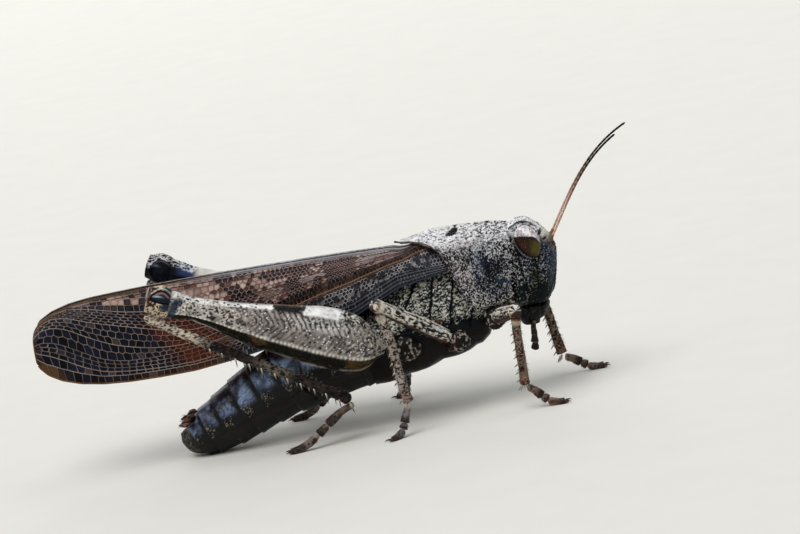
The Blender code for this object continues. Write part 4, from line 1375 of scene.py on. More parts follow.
def ring_colour(points, from_top, part, coarse, fine):
    """Blue-black plates: crackled on the sides under a painted grey-blue sky reflection, with a painted pale
    highlight along the top, curled with cream below, brown pleats, and the underside near-black, partly its
    own colour and partly painted shade.
    """
    within = ramp(0.1, 0.3, part) * ramp(0.98, 0.88, part)
    crackle = worms(points * [0.7, 1, 1], 0.22, 9, 0.22)
    # Painted reflection: a grey-blue sheen of the sky on the upper sides of the plates.
    sky_sheen = tint(srgb(28, 34, 50), srgb(128, 146, 178), ramp(0.36, 0.72, coarse))
    colour = tint(
        BLACK,
        sky_sheen,
        band(from_top, 0.16, 0.44, 0.06) * within * (1 - 0.75 * crackle) * (0.65 + 0.35 * fine),
    )
    colour = layered(
        colour,
        # Painted highlight: a pale sky blue reflection along the top of each plate.
        (srgb(150, 178, 200), 0.75 * ramp(0.15, 0.04, from_top) * within * (0.6 + 0.4 * fine)),
        (tint(RUST, BROWN, coarse), 0.35 * band(from_top, 0.1, 0.18, 0.03) * fine),
        (BLACK, 0.85 * hump(part, 0.97, 0.025)),
    )
    curls = granular(points, 0.095, 0.2 * band(from_top, 0.44, 0.57, 0.03) * ramp(0.45, 0.85, part), 14)
    colour = tint(colour, tint(CREAM, srgb(150, 128, 96), 0.6 * coarse), 0.42 * curls)
    colour = tint(
        colour, tint(srgb(14, 14, 13), srgb(40, 32, 26), coarse), 0.75 * band(from_top, 0.6, 0.7, 0.02)
    )
    # Painted shade, partly the plates' own dark colour: the underside near-black, with brownish plate edges.
    belly_shade = ramp(0.7, 0.76, from_top)
    plate = tint(srgb(10, 14, 14), srgb(40, 38, 33), 0.7 * coarse * fine)
    plate = tint(plate, srgb(70, 62, 50), 0.5 * hump(part, 0.93, 0.04))
    return tint(colour, plate, 0.85 * belly_shade)


def tip_colour(points, from_top, coarse):
    """The last plates: tan brown above, dark and freckled with pale grains below."""
    speckled = tint(srgb(16, 17, 18), srgb(120, 108, 88), 0.6 * granular(points, 0.09, 0.26, 18))
    streaks = noise(points * [0.4, 1.6, 1.6], 0.3, 55, 2)
    brown = tint(
        tint(BLACK, srgb(112, 74, 54), ramp(0.3, 0.6, streaks)),
        srgb(150, 124, 112),
        ramp(0.62, 0.75, streaks),
    )
    return tint(speckled, brown, ramp(0.34, 0.2, from_top))


def make_cercus(side, steps=60):
    """A short blunt cone at the tail: dark brown with lengthwise pinkish streaks."""
    name = f"cercus_{side}"
    line = axis_of(name, on_side(CERCUS_ROOT, side), steps)
    share = np.linspace(0, 1, steps)
    tight = (1.15 - 0.5 * share) * np.sqrt(np.clip(1.002 - share**5, 0, 1))
    points = tube_grid(line, thickness_of([name], line) * tight, 28)
    streaks = noise(points * [0.35, 1.8, 1.8], 0.22, 4, 2)
    colour = tint(srgb(18, 14, 14), srgb(92, 64, 52), ramp(0.35, 0.6, streaks))
    colour = tint(colour, srgb(158, 130, 120), 0.8 * ramp(0.6, 0.72, streaks))
    body = lifted(points, 0.05 * (streaks - 0.5), wrap=True)
    piece = Piece(f"tail_{name}")
    piece.grid(body, look(colour, srgb(60, 44, 38), 0.25, 0.45), wrap=True, caps=(0, -1))
    add_hairs(piece, body, 30, 0.14, 8)
    piece.finish(MATERIALS["limb"], [name])


MATERIALS = {
    "shell": cuticle("rough_shell", 0.05, 0.008, 0.008, Specular_IOR_Level=0.06),
    "gloss": cuticle("glossy_shell", 0.06, 0.004, 0.003, coat=0.06, Specular_IOR_Level=0.16),
    "limb": cuticle("limb_shell", 0.04, 0.006, 0.005, Specular_IOR_Level=0.07),
    "wing": cuticle("wing_net", 0.07, 0.003, 0.003, Specular_IOR_Level=0.07),
    "eye": faceted_eye("faceted_eye"),
}
make_pronotum()
make_head()
make_mouthparts()
make_thorax()
make_abdomen()
for side in SIDES:
    make_eye(side)
    make_antenna(side)
    make_palp(side)
    make_cercus(side)


# ---------------------------------------------------------------- legs

SPINE_STEPS = np.array([0.0, 0.35, 0.7, 1.0])


def middle_of(name):
    """The middle of a node's box, in mm."""
    low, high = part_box(name)
    return np.array((low + high) / 2) / MM


def leg_points(leg):
    """Where the knee and the ankle of a leg are."""
    knee = axis_of(f"femur_{leg}", middle_of(f"coxa_{leg}"))[-1]
    ankle = axis_of(f"tibia_{leg}", knee)[-1]
    return knee, ankle


def add_spines(piece, roots, leans, lengths, root_radius, dark_from):
    """Stout pointed spines, pale below and black from a share dark_from: roots and leans are (n, 3)."""
    leans = unit(leans)
    paths = roots[:, None] + leans[:, None] * SPINE_STEPS[:, None] * np.reshape(lengths, (-1, 1, 1))
    paths = paths - 0.12 * UP * (SPINE_STEPS**2)[:, None] * np.reshape(lengths, (-1, 1, 1))
    radii = np.broadcast_to(root_radius * np.array([1.0, 0.8, 0.5, 0.06]), paths.shape[:2])
    share = ramp(dark_from - 0.2, dark_from + 0.25, SPINE_STEPS)
    colour = np.broadcast_to(tint(CREAM, BLACK, share), paths.shape)
    piece.bars(paths, radii, look(colour, colour, 0.0, 0.3))


def make_coxa(leg, rings=60, around=76):
    """A rounded hip, ridged and freckled."""
    name = f"coxa_{leg}"
    points = Ball([name], middle_of(name), 0.3, 32, 48, 2).grid(rings, around)
    coarse = noise(points, 0.35, 3, 2)
    shag = granular(points * [1, 1, 0.6], 0.15, 0.18 + 0.7 * (coarse - 0.5), 5)
    ridge = hump(np.sin(points[..., 0] * 4.0 + points[..., 1] * 3.0), 1.0, 0.3)
    colour = tint(tint(srgb(12, 16, 18), srgb(34, 25, 21), coarse), tint(CREAM, GREY, coarse), 0.6 * shag)
    colour = tint(colour, RUST, 0.12 * ramp(0.68, 0.85, coarse))
    body = lifted(points, 0.03 * shag + 0.05 * (coarse - 0.5) + 0.03 * ridge, wrap=True)
    piece = Piece(f"hip_{leg}")
    piece.grid(body, gritty(colour, CREAM, 0.6, 0.14, 0.4), wrap=True)
    piece.finish(MATERIALS["limb"], [name])


def drawn_out(s, t, length, girth):
    """Places on a limb for patterns that run lengthwise: s along it and t round it, both shares."""
    angle = math.tau * t
    across, up = girth * np.cos(angle) + 0 * s, girth * np.sin(angle) + 0 * s
    return np.stack([0.45 * length * s + 0 * t, across, up], axis=-1)


def make_walking_femur(leg, side, rows=130, columns=60):
    """A slender thigh with four keels: pale, with rows of black dots, and rusty beneath."""
    name = f"femur_{leg}"
    line = axis_of(name, middle_of(f"coxa_{leg}"))
    shell = Shell([name], line, SIDES[side], 40, 40, 2)
    shares, turns = grid_shares(rows, columns)
    points = shell.grid(shares, turns)
    s, t = shares[:, None], turns[None, :]
    keels = sum(hump(np.abs((t - k + 0.5) % 1 - 0.5), 0, 0.028) for k in (0.02, 0.16, 0.36, 0.64, 0.86))
    coarse = noise(points, 0.5, 13, 2)
    long_way = drawn_out(s, t, shell.length, 0.5)
    shag = granular(long_way, 0.12, 0.62 + 0.2 * keels + 0.3 * (coarse - 0.5), 23)
    under = band(t, 0.3, 0.72, 0.04) if leg.startswith("fore") else band(t, 0.36, 0.66, 0.04)
    rows_of_dots = hump(np.abs((t - 0.09 + 0.5) % 1 - 0.5), 0, 0.045) + hump(t, 0.26, 0.05)
    dots = ramp(0.2, 0.5, np.sin(s * 75 + 9 * coarse)) * rows_of_dots
    colour = tint(tint(srgb(24, 24, 28), srgb(54, 44, 38), coarse), tint(WHITE, CREAM, coarse), shag)
    colour = layered(
        colour,
        (BLACK, 0.96 * np.clip(dots, 0, 1)),
        (tint(srgb(72, 42, 28), srgb(34, 24, 20), shag), under * 0.97),
        (BLACK, 0.95 * freckles(long_way, 0.19, 0.4, 4) * (1 - under)),
        (srgb(110, 64, 46), 0.6 * band(s, 0.955, 0.985, 0.008) * ramp(0.12, 0.05, np.abs(t - 0.17))),
        (CREAM, 0.6 * band(s, 0.88, 0.95, 0.01)),
    )
    ends = ramp(0, 0.02, s) * ramp(1, 0.98, s)
    lift = (0.045 * keels + 0.022 * shag + 0.04 * (coarse - 0.5) - 0.02 * np.clip(dots, 0, 1)) * ends
    lift = lift - 0.05 * hump(s, 0.93, 0.012) * band(t, 0.05, 0.45, 0.03)
    body = lifted(points, lift - 0.03, wrap=True)
    piece = Piece(f"thigh_{leg}")
    piece.grid(body, gritty(colour, WHITE, 0.4, 0.15, 0.45), wrap=True, caps=(0, -1))
    add_hairs(piece, body, 90, 0.16, 5)
    piece.finish(MATERIALS["limb"], [name])


def limb_colour(points, share, kind):
    """The banded and dotted colour of a shin: fore, middle or hind, by share from the knee to the ankle, the
    hind one near-black with painted shade beyond its pale part by the knee.
    """
    coarse = noise(points, 0.3, 17, 2)
    shag = granular(points, 0.11, 0.62 + 0.5 * (coarse - 0.5), 29)
    if kind == "hind":
        pale = tint(srgb(196, 176, 164), CREAM, coarse)
        dark = tint(srgb(10, 9, 10), srgb(30, 23, 22), coarse)
        # Painted shade: past the pale part by the knee, the hind shin is near-black where it lies under the
        # thigh.
        thigh_shade = ramp(0.2, 0.36, share) * (1 - 0.2 * band(share, 0.55, 0.7, 0.05))
        colour = tint(
            tint(dark, pale, 0.1 + 0.85 * shag), tint(dark, srgb(84, 72, 66), 0.14 * shag), 0.985 * thigh_shade
        )
        return tint(colour, BLACK, 0.95 * freckles(points, 0.2, 0.4, 8))
    pale = tint(srgb(138, 122, 108), srgb(98, 78, 66) if kind == "fore" else srgb(164, 158, 156), coarse)
    brown = tint(srgb(50, 35, 28), srgb(28, 24, 24), coarse)
    colour = tint(brown, pale, shag)
    colour = layered(
        colour,
        (srgb(112, 66, 46), 0.5 * ramp(0.72, 0.95, share) * ramp(0.3, 0.6, coarse)),
        (BLACK, 0.95 * freckles(points, 0.17, 0.42, 6)),
        (CREAM, 0.45 * band(share, 0.03, 0.1, 0.015)),
    )
    return tint(colour, srgb(104, 52, 38), 0.7 * ramp(0.03, 0.0, share))


SHIN_SPINES = {"fore": 7, "middle": 8, "hind": 11}
SPINE_LENGTHS = {"fore": 0.34, "middle": 0.3, "hind": 0.56}


def make_shin(leg, side, steps=170, around=26):
    """A shin with two rows of spines along its hind side, spurs at the ankle and fine bristles."""
    name, kind = f"tibia_{leg}", leg.split("_")[0]
    knee, _ = leg_points(leg)
    line = axis_of(name, knee, steps)
    share = np.linspace(0, 1, steps)
    radius = (
        thickness_of([name], line) * (0.9 + 0.1 * hump(share, 1.0, 0.05) + 0.12 * hump(share, 0.03, 0.04))
    )
    radius = radius * ramp(-0.012, 0.012, share) * ramp(1.012, 0.985, share)
    points = tube_grid(line, radius, around, 0.88)
    s = share[:, None]
    colour = limb_colour(points, s, kind)
    coarse = noise(points, 0.3, 6, 2)
    lift = 0.05 * (coarse - 0.5) + 0.012 * granular(points, 0.12, 0.5, 3)
    body = lifted(points, lift * ramp(0, 0.03, s) * ramp(1, 0.97, s), wrap=True)
    piece = Piece(f"shin_{leg}")
    piece.grid(body, gritty(colour, WHITE, 0.35, 0.15, 0.42), wrap=True, caps=(0, -1))
    along = unit(line[-1] - line[0])
    across = unit(np.cross(along, UP)) * SIDES[side]
    lower = unit(np.cross(along, across))
    lower = lower * (-np.sign(lower[0]) if kind != "hind" else -np.sign(lower[2]))
    count = SHIN_SPINES[kind]
    shares = (
        np.repeat(np.linspace(0.3 if kind == "hind" else 0.24, 0.93, count), 2) + np.tile([0, 0.02], count)
    )
    aside = np.tile([0.75, -0.75], count)[:, None]
    lean = lower + across * aside
    at = (shares * (steps - 1)).astype(int)
    roots = line[at] + unit(lean) * radius[at, None] * 0.8
    length = SPINE_LENGTHS[kind] * (0.8 + 0.4 * hashed(np.arange(2 * count), 0, 0, 3))
    add_spines(piece, roots, lean + 0.75 * along, length, 0.05, 0.3)
    spurs = np.array([lower + across * w + 1.3 * along for w in (0.9, 0.35, -0.35, -0.9)])
    ends = line[-4] + unit(spurs) * radius[-6] * 0.7
    add_spines(piece, ends, spurs, np.full(4, SPINE_LENGTHS[kind] * 1.15), 0.045, 0.4)
    add_hairs(piece, body, 160, 0.15, 9)
    piece.finish(MATERIALS["limb"], [name])


FOOT_JOINTS = (0.0, 0.42, 0.58, 1.0)
CLAW_STEPS = 7
CLAW_LENGTH, CLAW_RADIUS, PAD_RADIUS = 0.42, 0.075, 0.085


def make_foot(leg, steps=120, around=22):
    """Three foot segments with pads under them, then two curved claws with a pad between."""
    name, kind = f"tarsus_{leg}", leg.split("_")[0]
    _, ankle = leg_points(leg)
    line = axis_of(name, ankle, steps)
    share = np.linspace(0, 1, steps)
    place = np.interp(share, FOOT_JOINTS, (0, 1, 2, 3))
    part = place - np.floor(place)
    swell = 0.64 + 0.26 * part - 0.3 * hump(part, 0, 0.1) * (place > 0.2) - 0.12 * hump(part, 1, 0.05)
    radius = thickness_of([name], line) * swell * ramp(-0.02, 0.02, share) * ramp(1.03, 0.98, share)
    points = tube_grid(line, radius, around, 0.9)
    pads = np.abs(np.sin(share * math.pi * 5))[:, None] * ramp(0.1, 0.9, -normals_of(points, True)[..., 2])
    coarse = noise(points, 0.25, 19, 2)
    tones = {"fore": srgb(78, 54, 44), "middle": srgb(78, 76, 84), "hind": srgb(64, 50, 46)}
    colour = tint(tones[kind], srgb(150, 136, 126), 0.45 * ramp(0.3, 0.7, coarse))
    colour = layered(
        colour,
        (srgb(22, 18, 18), 0.96 * freckles(points, 0.16, 0.66, 3)),
        (srgb(36, 26, 25), 0.85 * ramp(0.45, 0.8, part)[:, None]),
        (CREAM, 0.35 * ramp(0.2, 0.0, part)[:, None]),
    )
    body = lifted(points, 0.03 * pads + 0.03 * (coarse - 0.5), wrap=True)
    body = body - UP * max(body[..., 2].min(), 0.0)
    piece = Piece(f"foot_{leg}")
    piece.grid(body, gritty(colour, WHITE, 0.35, 0.12, 0.42), wrap=True, caps=(0, -1))
    forward = unit((line[-1] - line[-12]) * np.array([1, 1, 0]))
    across = np.array([-forward[1], forward[0], 0.0])
    add_claws(piece, line[-5], forward, across)
    add_hairs(piece, body, 60, 0.12, 3)
    piece.finish(MATERIALS["limb"], [name])


def add_claws(piece, tip, forward, across):
    """Two curved claws at a foot's tip, kept above the floor, and a soft pad between them."""
    steps = np.linspace(0, 1, CLAW_STEPS)
    along = steps[:, None]
    droop = UP * (0.1 * np.sin(along * 2.6) - 0.05 * along)
    claws = [
        tip + forward * CLAW_LENGTH * along + across * w * (0.08 + 0.2 * along) + droop for w in (1, -1)
    ]
    radii = np.broadcast_to(CLAW_RADIUS * (1 - 0.93 * steps**1.3), (2, CLAW_STEPS))
    claws = [np.stack([claw[:, 0], claw[:, 1], np.maximum(claw[:, 2], radii[0])], axis=1) for claw in claws]
    dark = np.broadcast_to(tint(BROWN, BLACK, steps), (2, CLAW_STEPS, 3))
    piece.bars(np.array(claws), radii, look(dark, dark, 0.0, 0.22), sides=8)
    pad = tip + forward * (0.05 + 0.2 * along) - UP * 0.03
    pad_radii = PAD_RADIUS * np.sqrt(np.clip(1 - steps**2, 0.02, 1))
    piece.bars(pad[None], pad_radii[None], look(GREY * 0.6), sides=10)


# ---------------------------------------------------------------- hind thigh

UPPER_RIDGE, LOWER_RIDGE, HERRING_MIDDLE = 0.66, -0.5, 0.1
HERRING_COUNT, HERRING_SLANT = 42, 3.4
KNEE_START = 0.9
KNEE_LENS, KNEE_LENS_SIZE = (0.945, 0.38), (0.052, 0.4)


def make_hind_femur(leg, side, rows=330, columns=132):
    """The jumping thigh: keels, herringbone face, banded top, dark inner side and lobed glossy knee."""
    name = f"femur_{leg}"
    line = axis_of(name, middle_of(f"coxa_{leg}"))
    shell = Shell([name], line, SIDES[side], 90, 64, 2)
    shares, turns = grid_shares(rows, columns)
    points = shell.grid(shares, turns)
    s, t = shares[:, None] + 0 * turns, turns[None, :] + 0 * shares[:, None]
    rise, out = shell.local(shares, points)
    h = rise / np.abs(rise).max(axis=1, keepdims=True)
    outer = ramp(-0.05, 0.25, out / np.abs(out).max(axis=1, keepdims=True))
    coarse, slow = noise(points, 0.4, 3, 2), noise(points, 1.2, 8)
    shank = ramp(0.02, 0.06, s) * ramp(KNEE_START, KNEE_START - 0.05, s)
    top_keel = hump(np.minimum(t, 1 - t), 0, 0.014)
    low_keel = hump(t, 0.5, 0.02)
    upper = hump(h, UPPER_RIDGE, 0.05) * outer
    lower = hump(h, LOWER_RIDGE, 0.055) * outer
    face = band(h, LOWER_RIDGE + 0.06, UPPER_RIDGE - 0.05, 0.05) * outer * shank
    phase = HERRING_COUNT * s - HERRING_SLANT * np.abs(h - HERRING_MIDDLE) + 0.9 * coarse + 0.5 * slow
    herring = (
        0.5 + 0.5 * np.sin(math.tau * phase) * (0.45 + 0.55 * ramp(0.05, 0.4, h)) * ramp(0.2, 0.6, slow)
    )
    bead = freckles(points, 0.11, 0.2, 61, (0.4, 0.7)) * face
    serrated = lower * (0.65 + 0.35 * np.sin(math.tau * HERRING_COUNT * 1.4 * s))
    lift = (0.05 * herring - 0.02) * face + 0.03 * bead + 0.06 * upper * shank + 0.08 * serrated * shank
    lift = lift + 0.07 * (top_keel + low_keel) * shank + 0.04 * (coarse - 0.5)
    colour = thigh_colour(points, s, h, outer, herring, bead, coarse, slow)
    colour, knee_lift, knee_rough = knee_look(points, s, h, outer, colour, coarse)
    edge_share = np.clip(1.3 * serrated * shank * ramp(0.2, 0.5, noise(points, 0.25, 45, 2)), 0, 1)
    colour = tint(colour, tint(CREAM, srgb(232, 232, 232), coarse), 0.9 * edge_share)
    colour = tint(colour, srgb(150, 130, 114), 0.4 * top_keel * ramp(0.62, 0.5, s))
    body = lifted(points, lift + knee_lift - 0.02, wrap=True)
    piece = Piece(f"thigh_{leg}")
    inner = 1 - outer
    rough = 0.46 - 0.16 * inner - 0.28 * knee_rough
    piece.grid(body, gritty(colour, WHITE, 0.4, 0.15, rough), wrap=True, caps=(0, -1))
    add_hairs(piece, body[:, 60:72], 120, 0.2, 7)
    piece.finish(MATERIALS["limb"], [name])


def thigh_colour(points, s, h, outer, herring, bead, coarse, slow):
    """Outer side grey, with a banded top and an olive lower margin. Inner side blue-black, pale ringed."""
    shag = granular(points, 0.13, 0.46 + 0.5 * (slow - 0.5) + 0.12 * ramp(0.55, 0.8, s), 41)
    grey = tint(srgb(100, 91, 89), srgb(166, 157, 153), coarse)
    grey = tint(grey, srgb(200, 198, 196), 0.75 * band(h, 0.2, 0.6, 0.1) * band(s, 0.14, 0.42, 0.05))
    field = tint(srgb(22, 20, 22), grey, 0.03 + 0.97 * ramp(0.15, 0.62, herring))
    field = tint(field, BLACK, 0.97 * freckles(points, 0.2, 0.5, 71) * ramp(0.75, 0.4, s))
    mixed_in = 0.15 + 0.6 * ramp(0.52, 0.68, s) + 0.35 * ramp(0.25, 0.1, s)
    dull = tint(tint(BLACK, BROWN, 0.4 * coarse), tint(WHITE, CREAM, coarse), shag * (0.7 + 0.3 * slow))
    field = layered(
        field,
        (dull, mixed_in),
        (BLACK, 0.55 * ramp(0.5, 0.25, noise(points, 0.7, 92, 2)) * ramp(0.2, -0.2, h)),
        (srgb(236, 236, 238), bead),
    )
    top = tint(tint(BLACK, SLATE, 0.5 * coarse), tint(WHITE, CREAM, coarse), shag)
    ragged = s + 0.07 * (noise(points, 0.25, 88, 2) - 0.5)
    whites = (
        band(ragged, 0.49, 0.885, 0.008) * (0.35 + 0.65 * ramp(0.75, 0.6, s)) + band(s, 0.215, 0.37, 0.012)
    )
    top = layered(
        top,
        (tint(srgb(238, 238, 240), CREAM, 0.25 * coarse), 0.9 * whites),
        (BLACK, 0.98 * band(ragged, 0.37, 0.488, 0.008)),
        (BLACK, 0.97 * freckles(points, 0.2, 0.4, 14) * (1 - 0.7 * band(s, 0.215, 0.37, 0.01))),
    )
    colour = tint(field, top, ramp(UPPER_RIDGE - 0.05, UPPER_RIDGE + 0.05, h))
    olive = tint(srgb(9, 9, 8), srgb(36, 32, 20), coarse * granular(points, 0.12, 0.5, 12))
    patches = spot(s, h, (0.53, -0.7), (0.05, 0.25)) + spot(s, h, (0.09, -0.72), (0.07, 0.3))
    blotch = ramp(0.42, 0.72, patches * (0.3 + 1.4 * noise(points, 0.2, 66, 2)))
    olive = layered(
        olive,
        (tint(srgb(112, 82, 40), srgb(62, 46, 26), coarse), 0.6 * blotch),
        (BLACK, 0.9 * freckles(points, 0.13, 0.4, 37)),
        (CREAM, 0.4 * ramp(-0.93, -0.98, h) * ramp(0.3, 0.6, coarse) * ramp(0.6, 0.3, s)),
    )
    colour = tint(colour, olive, ramp(LOWER_RIDGE - 0.03, LOWER_RIDGE - 0.09, h))
    inner = tint(BLACK, BLUE_BLACK, coarse)
    inner = layered(
        inner,
        (tint(WHITE, CREAM, coarse), band(s, 0.68, 0.8, 0.015) + 0.8 * band(s, 0.22, 0.33, 0.02)),
        (srgb(52, 70, 108), 0.8 * band(s, 0.8, 0.87, 0.02) * ramp(-0.1, 0.3, h)),
        (WHITE, 0.85 * np.maximum(ramp(0.85, 0.95, h), band(s, 0.8, 0.9, 0.02) * ramp(0.5, 0.7, h)) * shag),
    )
    return tint(inner, colour, outer)


def knee_look(points, s, h, outer, colour, coarse):
    """The knee's colours, relief and gloss: a dark ring, then a lens with arcs and a painted highlight above
    a freckled lobe, and a painted highlight on the inner side.
    """
    knee = ramp(KNEE_START, KNEE_START + 0.012, s)
    ring = band(s + 0.02 * h + 0.02 * (coarse - 0.5), 0.868, 0.9, 0.008) * ramp(0.8, 0.45, h) * outer
    colour = tint(colour, tint(BLUE_BLACK, srgb(60, 78, 100), 0.5 * coarse), 0.95 * ring)
    place = np.stack([(s - KNEE_LENS[0]) / KNEE_LENS_SIZE[0], (h - KNEE_LENS[1]) / KNEE_LENS_SIZE[1]])
    centre = np.hypot(place[0], place[1] + 0.35 * place[0] ** 2)
    deep = np.hypot((s - 0.937) / np.where(s > 0.937, 0.048, 0.075), (h - 0.02) / 0.7)
    shag = granular(points, 0.1, 0.5, 43)
    lobe = tint(tint(BLACK, BROWN, coarse), tint(CREAM, OCHRE, 0.4 * coarse), shag)
    lobe = tint(
        lobe, tint(srgb(20, 28, 40), SLATE, 0.6 * coarse), ramp(0.955, 0.93, s) * ramp(-0.55, -0.3, h)
    )
    lens = tint(srgb(14, 18, 26), srgb(34, 40, 52), coarse)
    crescent = band(centre, 0.42, 0.7, 0.05) * ramp(0.0, 0.25, place[1])
    lens = layered(
        lens,
        (tint(srgb(140, 112, 116), srgb(104, 76, 82), coarse), 0.95 * crescent),
        # Painted highlight: a pale blue glint on the lens.
        (srgb(176, 196, 212), 0.9 * spot(place[0], place[1], (0.42, 0.02), (0.36, 0.12))),
        (BLACK, 0.9 * ramp(0.72, 0.8, centre)),
    )
    outside = tint(lobe, lens, ramp(1.0, 0.94, centre))
    rim = hump(centre, 1.16, 0.1) * ramp(0.0, 0.4, place[1])
    outside = tint(outside, tint(CREAM, WHITE, shag), 0.65 * rim)
    outside = tint(outside, srgb(70, 32, 22), 0.85 * ramp(0.987, 0.994, s) * ramp(-0.5, 0.0, h))
    inside = tint(
        tint(BLACK, BLUE_BLACK, coarse),
        tint(BLACK, WHITE, shag),
        ramp(0.95, 1.05, deep) * ramp(0.0, 0.3, h),
    )
    inside = tint(inside, srgb(140, 126, 136), 0.6 * hump(deep, 0.86, 0.04) * ramp(0, 0.3, h))
    # Painted highlight: a blue-grey glint on the knee's inner side.
    inside = tint(inside, srgb(120, 134, 146), 0.6 * spot(s, h, (0.965, 0.3), (0.014, 0.07)))
    colour = tint(colour, tint(inside, outside, outer), knee)
    rolled = outer * hump(centre, 1.05, 0.16) + (1 - outer) * hump(deep, 1.0, 0.12)
    bulge = 0.05 * outer * ramp(1.0, 0.5, centre)
    hollow = 0.05 * outer * hump(centre, 0.85, 0.08)
    lift = knee * (0.08 * rolled + bulge - hollow + 0.02 * shag * ramp(0.95, 1.1, centre))
    gloss = knee * (outer * ramp(1.0, 0.9, centre) + (1 - outer) * ramp(1.0, 0.9, deep))
    return colour, lift - 0.04 * hump(s, KNEE_START, 0.006), gloss


for side in SIDES:
    for position in ("fore", "middle", "hind"):
        leg = f"{position}_{side}"
        make_coxa(leg)
        make_shin(leg, side)
        make_foot(leg)
        if position == "hind":
            make_hind_femur(leg, side)
        else:
            make_walking_femur(leg, side)


# ---------------------------------------------------------------- forewings

# Long veins as (share from base to tip, share from the lower edge to the top edge), lowest first.
LONG_VEINS = {
    "costa": [(0, 0.3), (0.1, 0.12), (0.3, 0.05), (0.79, 0.06), (0.88, 0.08), (0.93, 0.15), (1, 0.2)],
    "subcosta": [
        (0, 0.5), (0.108, 0.3), (0.2, 0.2), (0.35, 0.12), (0.6, 0.08), (0.73, 0.084), (0.866, 0.12),
        (0.956, 0.31), (1, 0.38),
    ],
    "radius": [
        (0, 0.9), (0.08, 0.73), (0.158, 0.59), (0.245, 0.51), (0.334, 0.42), (0.45, 0.31), (0.595, 0.217),
        (0.708, 0.19), (0.819, 0.205), (0.874, 0.293), (0.919, 0.43), (0.96, 0.55), (1, 0.6),
    ],
    "media": [
        (0, 0.94), (0.077, 0.86), (0.18, 0.71), (0.262, 0.64), (0.345, 0.56), (0.45, 0.44), (0.594, 0.28),
        (0.685, 0.26), (0.777, 0.332), (0.853, 0.45), (0.902, 0.61), (0.953, 0.79), (1, 0.82),
    ],
    "cubitus": [
        (0, 0.96), (0.18, 0.78), (0.262, 0.73), (0.345, 0.66), (0.45, 0.54), (0.578, 0.39), (0.644, 0.4),
        (0.707, 0.468), (0.802, 0.599), (0.872, 0.698), (0.906, 0.8), (0.936, 0.9), (1, 0.93),
    ],
    "postcubitus": [
        (0, 0.975), (0.137, 0.87), (0.298, 0.79), (0.414, 0.69), (0.55, 0.64), (0.699, 0.674), (0.76, 0.723),
        (0.81, 0.778), (0.847, 0.85), (0.933, 0.965), (1, 0.985),
    ],
    "anal": [
        (0, 0.985), (0.17, 0.93), (0.34, 0.885), (0.6, 0.875), (0.71, 0.855), (0.753, 0.885), (0.81, 0.935),
        (1, 0.99),
    ],
}
RAIL_PLACES = {
    "costa": 1, "subcosta": 2, "radius": 8, "media": 10, "cubitus": 13, "postcubitus": 18, "anal": 22,
}
RAIL_COUNT = 24
PAIRED_BELOW = ("radius", "anal")  # the rails below these join in pairs towards the tip
PAIRED_FROM, PAIRED_BY = 0.5, 0.66
WING_THICKNESS = 0.05
NET_SPAN = (0.004, 0.992)
CELL_LENGTHS = [(0.0, 0.16), (0.35, 0.21), (0.6, 0.36), (1.0, 0.42)]
VEIN_HEIGHT = 0.024
VEIN_HALF_WIDTH = 0.0135
VEIN_SHARE = 0.065  # of a small cell's width, where that is less
LONG_VEIN_TIP = srgb(136, 122, 116)
WING_LENGTH = 22.4
WING_DEPTH = 4.4
CHART_DEPTH = 5.0
RIM_WIDTH = 0.3
NET_SEED = 2
ROOT_REACH = (0.6, 0.4, 0.2)


def rail(number, s):
    """The height share of a rail of the net: the edges, the long veins, and even steps between them."""
    knots = [(0, 0 * s), (RAIL_COUNT, 0 * s + 1)]
    knots += [(RAIL_PLACES[name], curve_at(path, s)) for name, path in LONG_VEINS.items()]
    knots.sort(key=lambda knot: knot[0])
    places = [knot[0] for knot in knots]
    upper = next(k for k in range(1, len(places)) if places[k] >= number)
    rows = places[upper] - places[upper - 1]
    share = (number - places[upper - 1]) / rows
    if places[upper] in [RAIL_PLACES[name] for name in PAIRED_BELOW]:
        share = share + (share * rows // 2 * 2 / rows - share) * ramp(PAIRED_FROM, PAIRED_BY, s)
    return knots[upper - 1][1] * (1 - share) + knots[upper][1] * share


def curve_at(path, s):
    """A smooth function through (s, q) pairs: straight steps averaged over a short span."""
    xs, qs = np.array(path).T
    return sum(np.interp(s + d, xs, qs) for d in (-0.04, -0.02, 0, 0.02, 0.04)) / 5


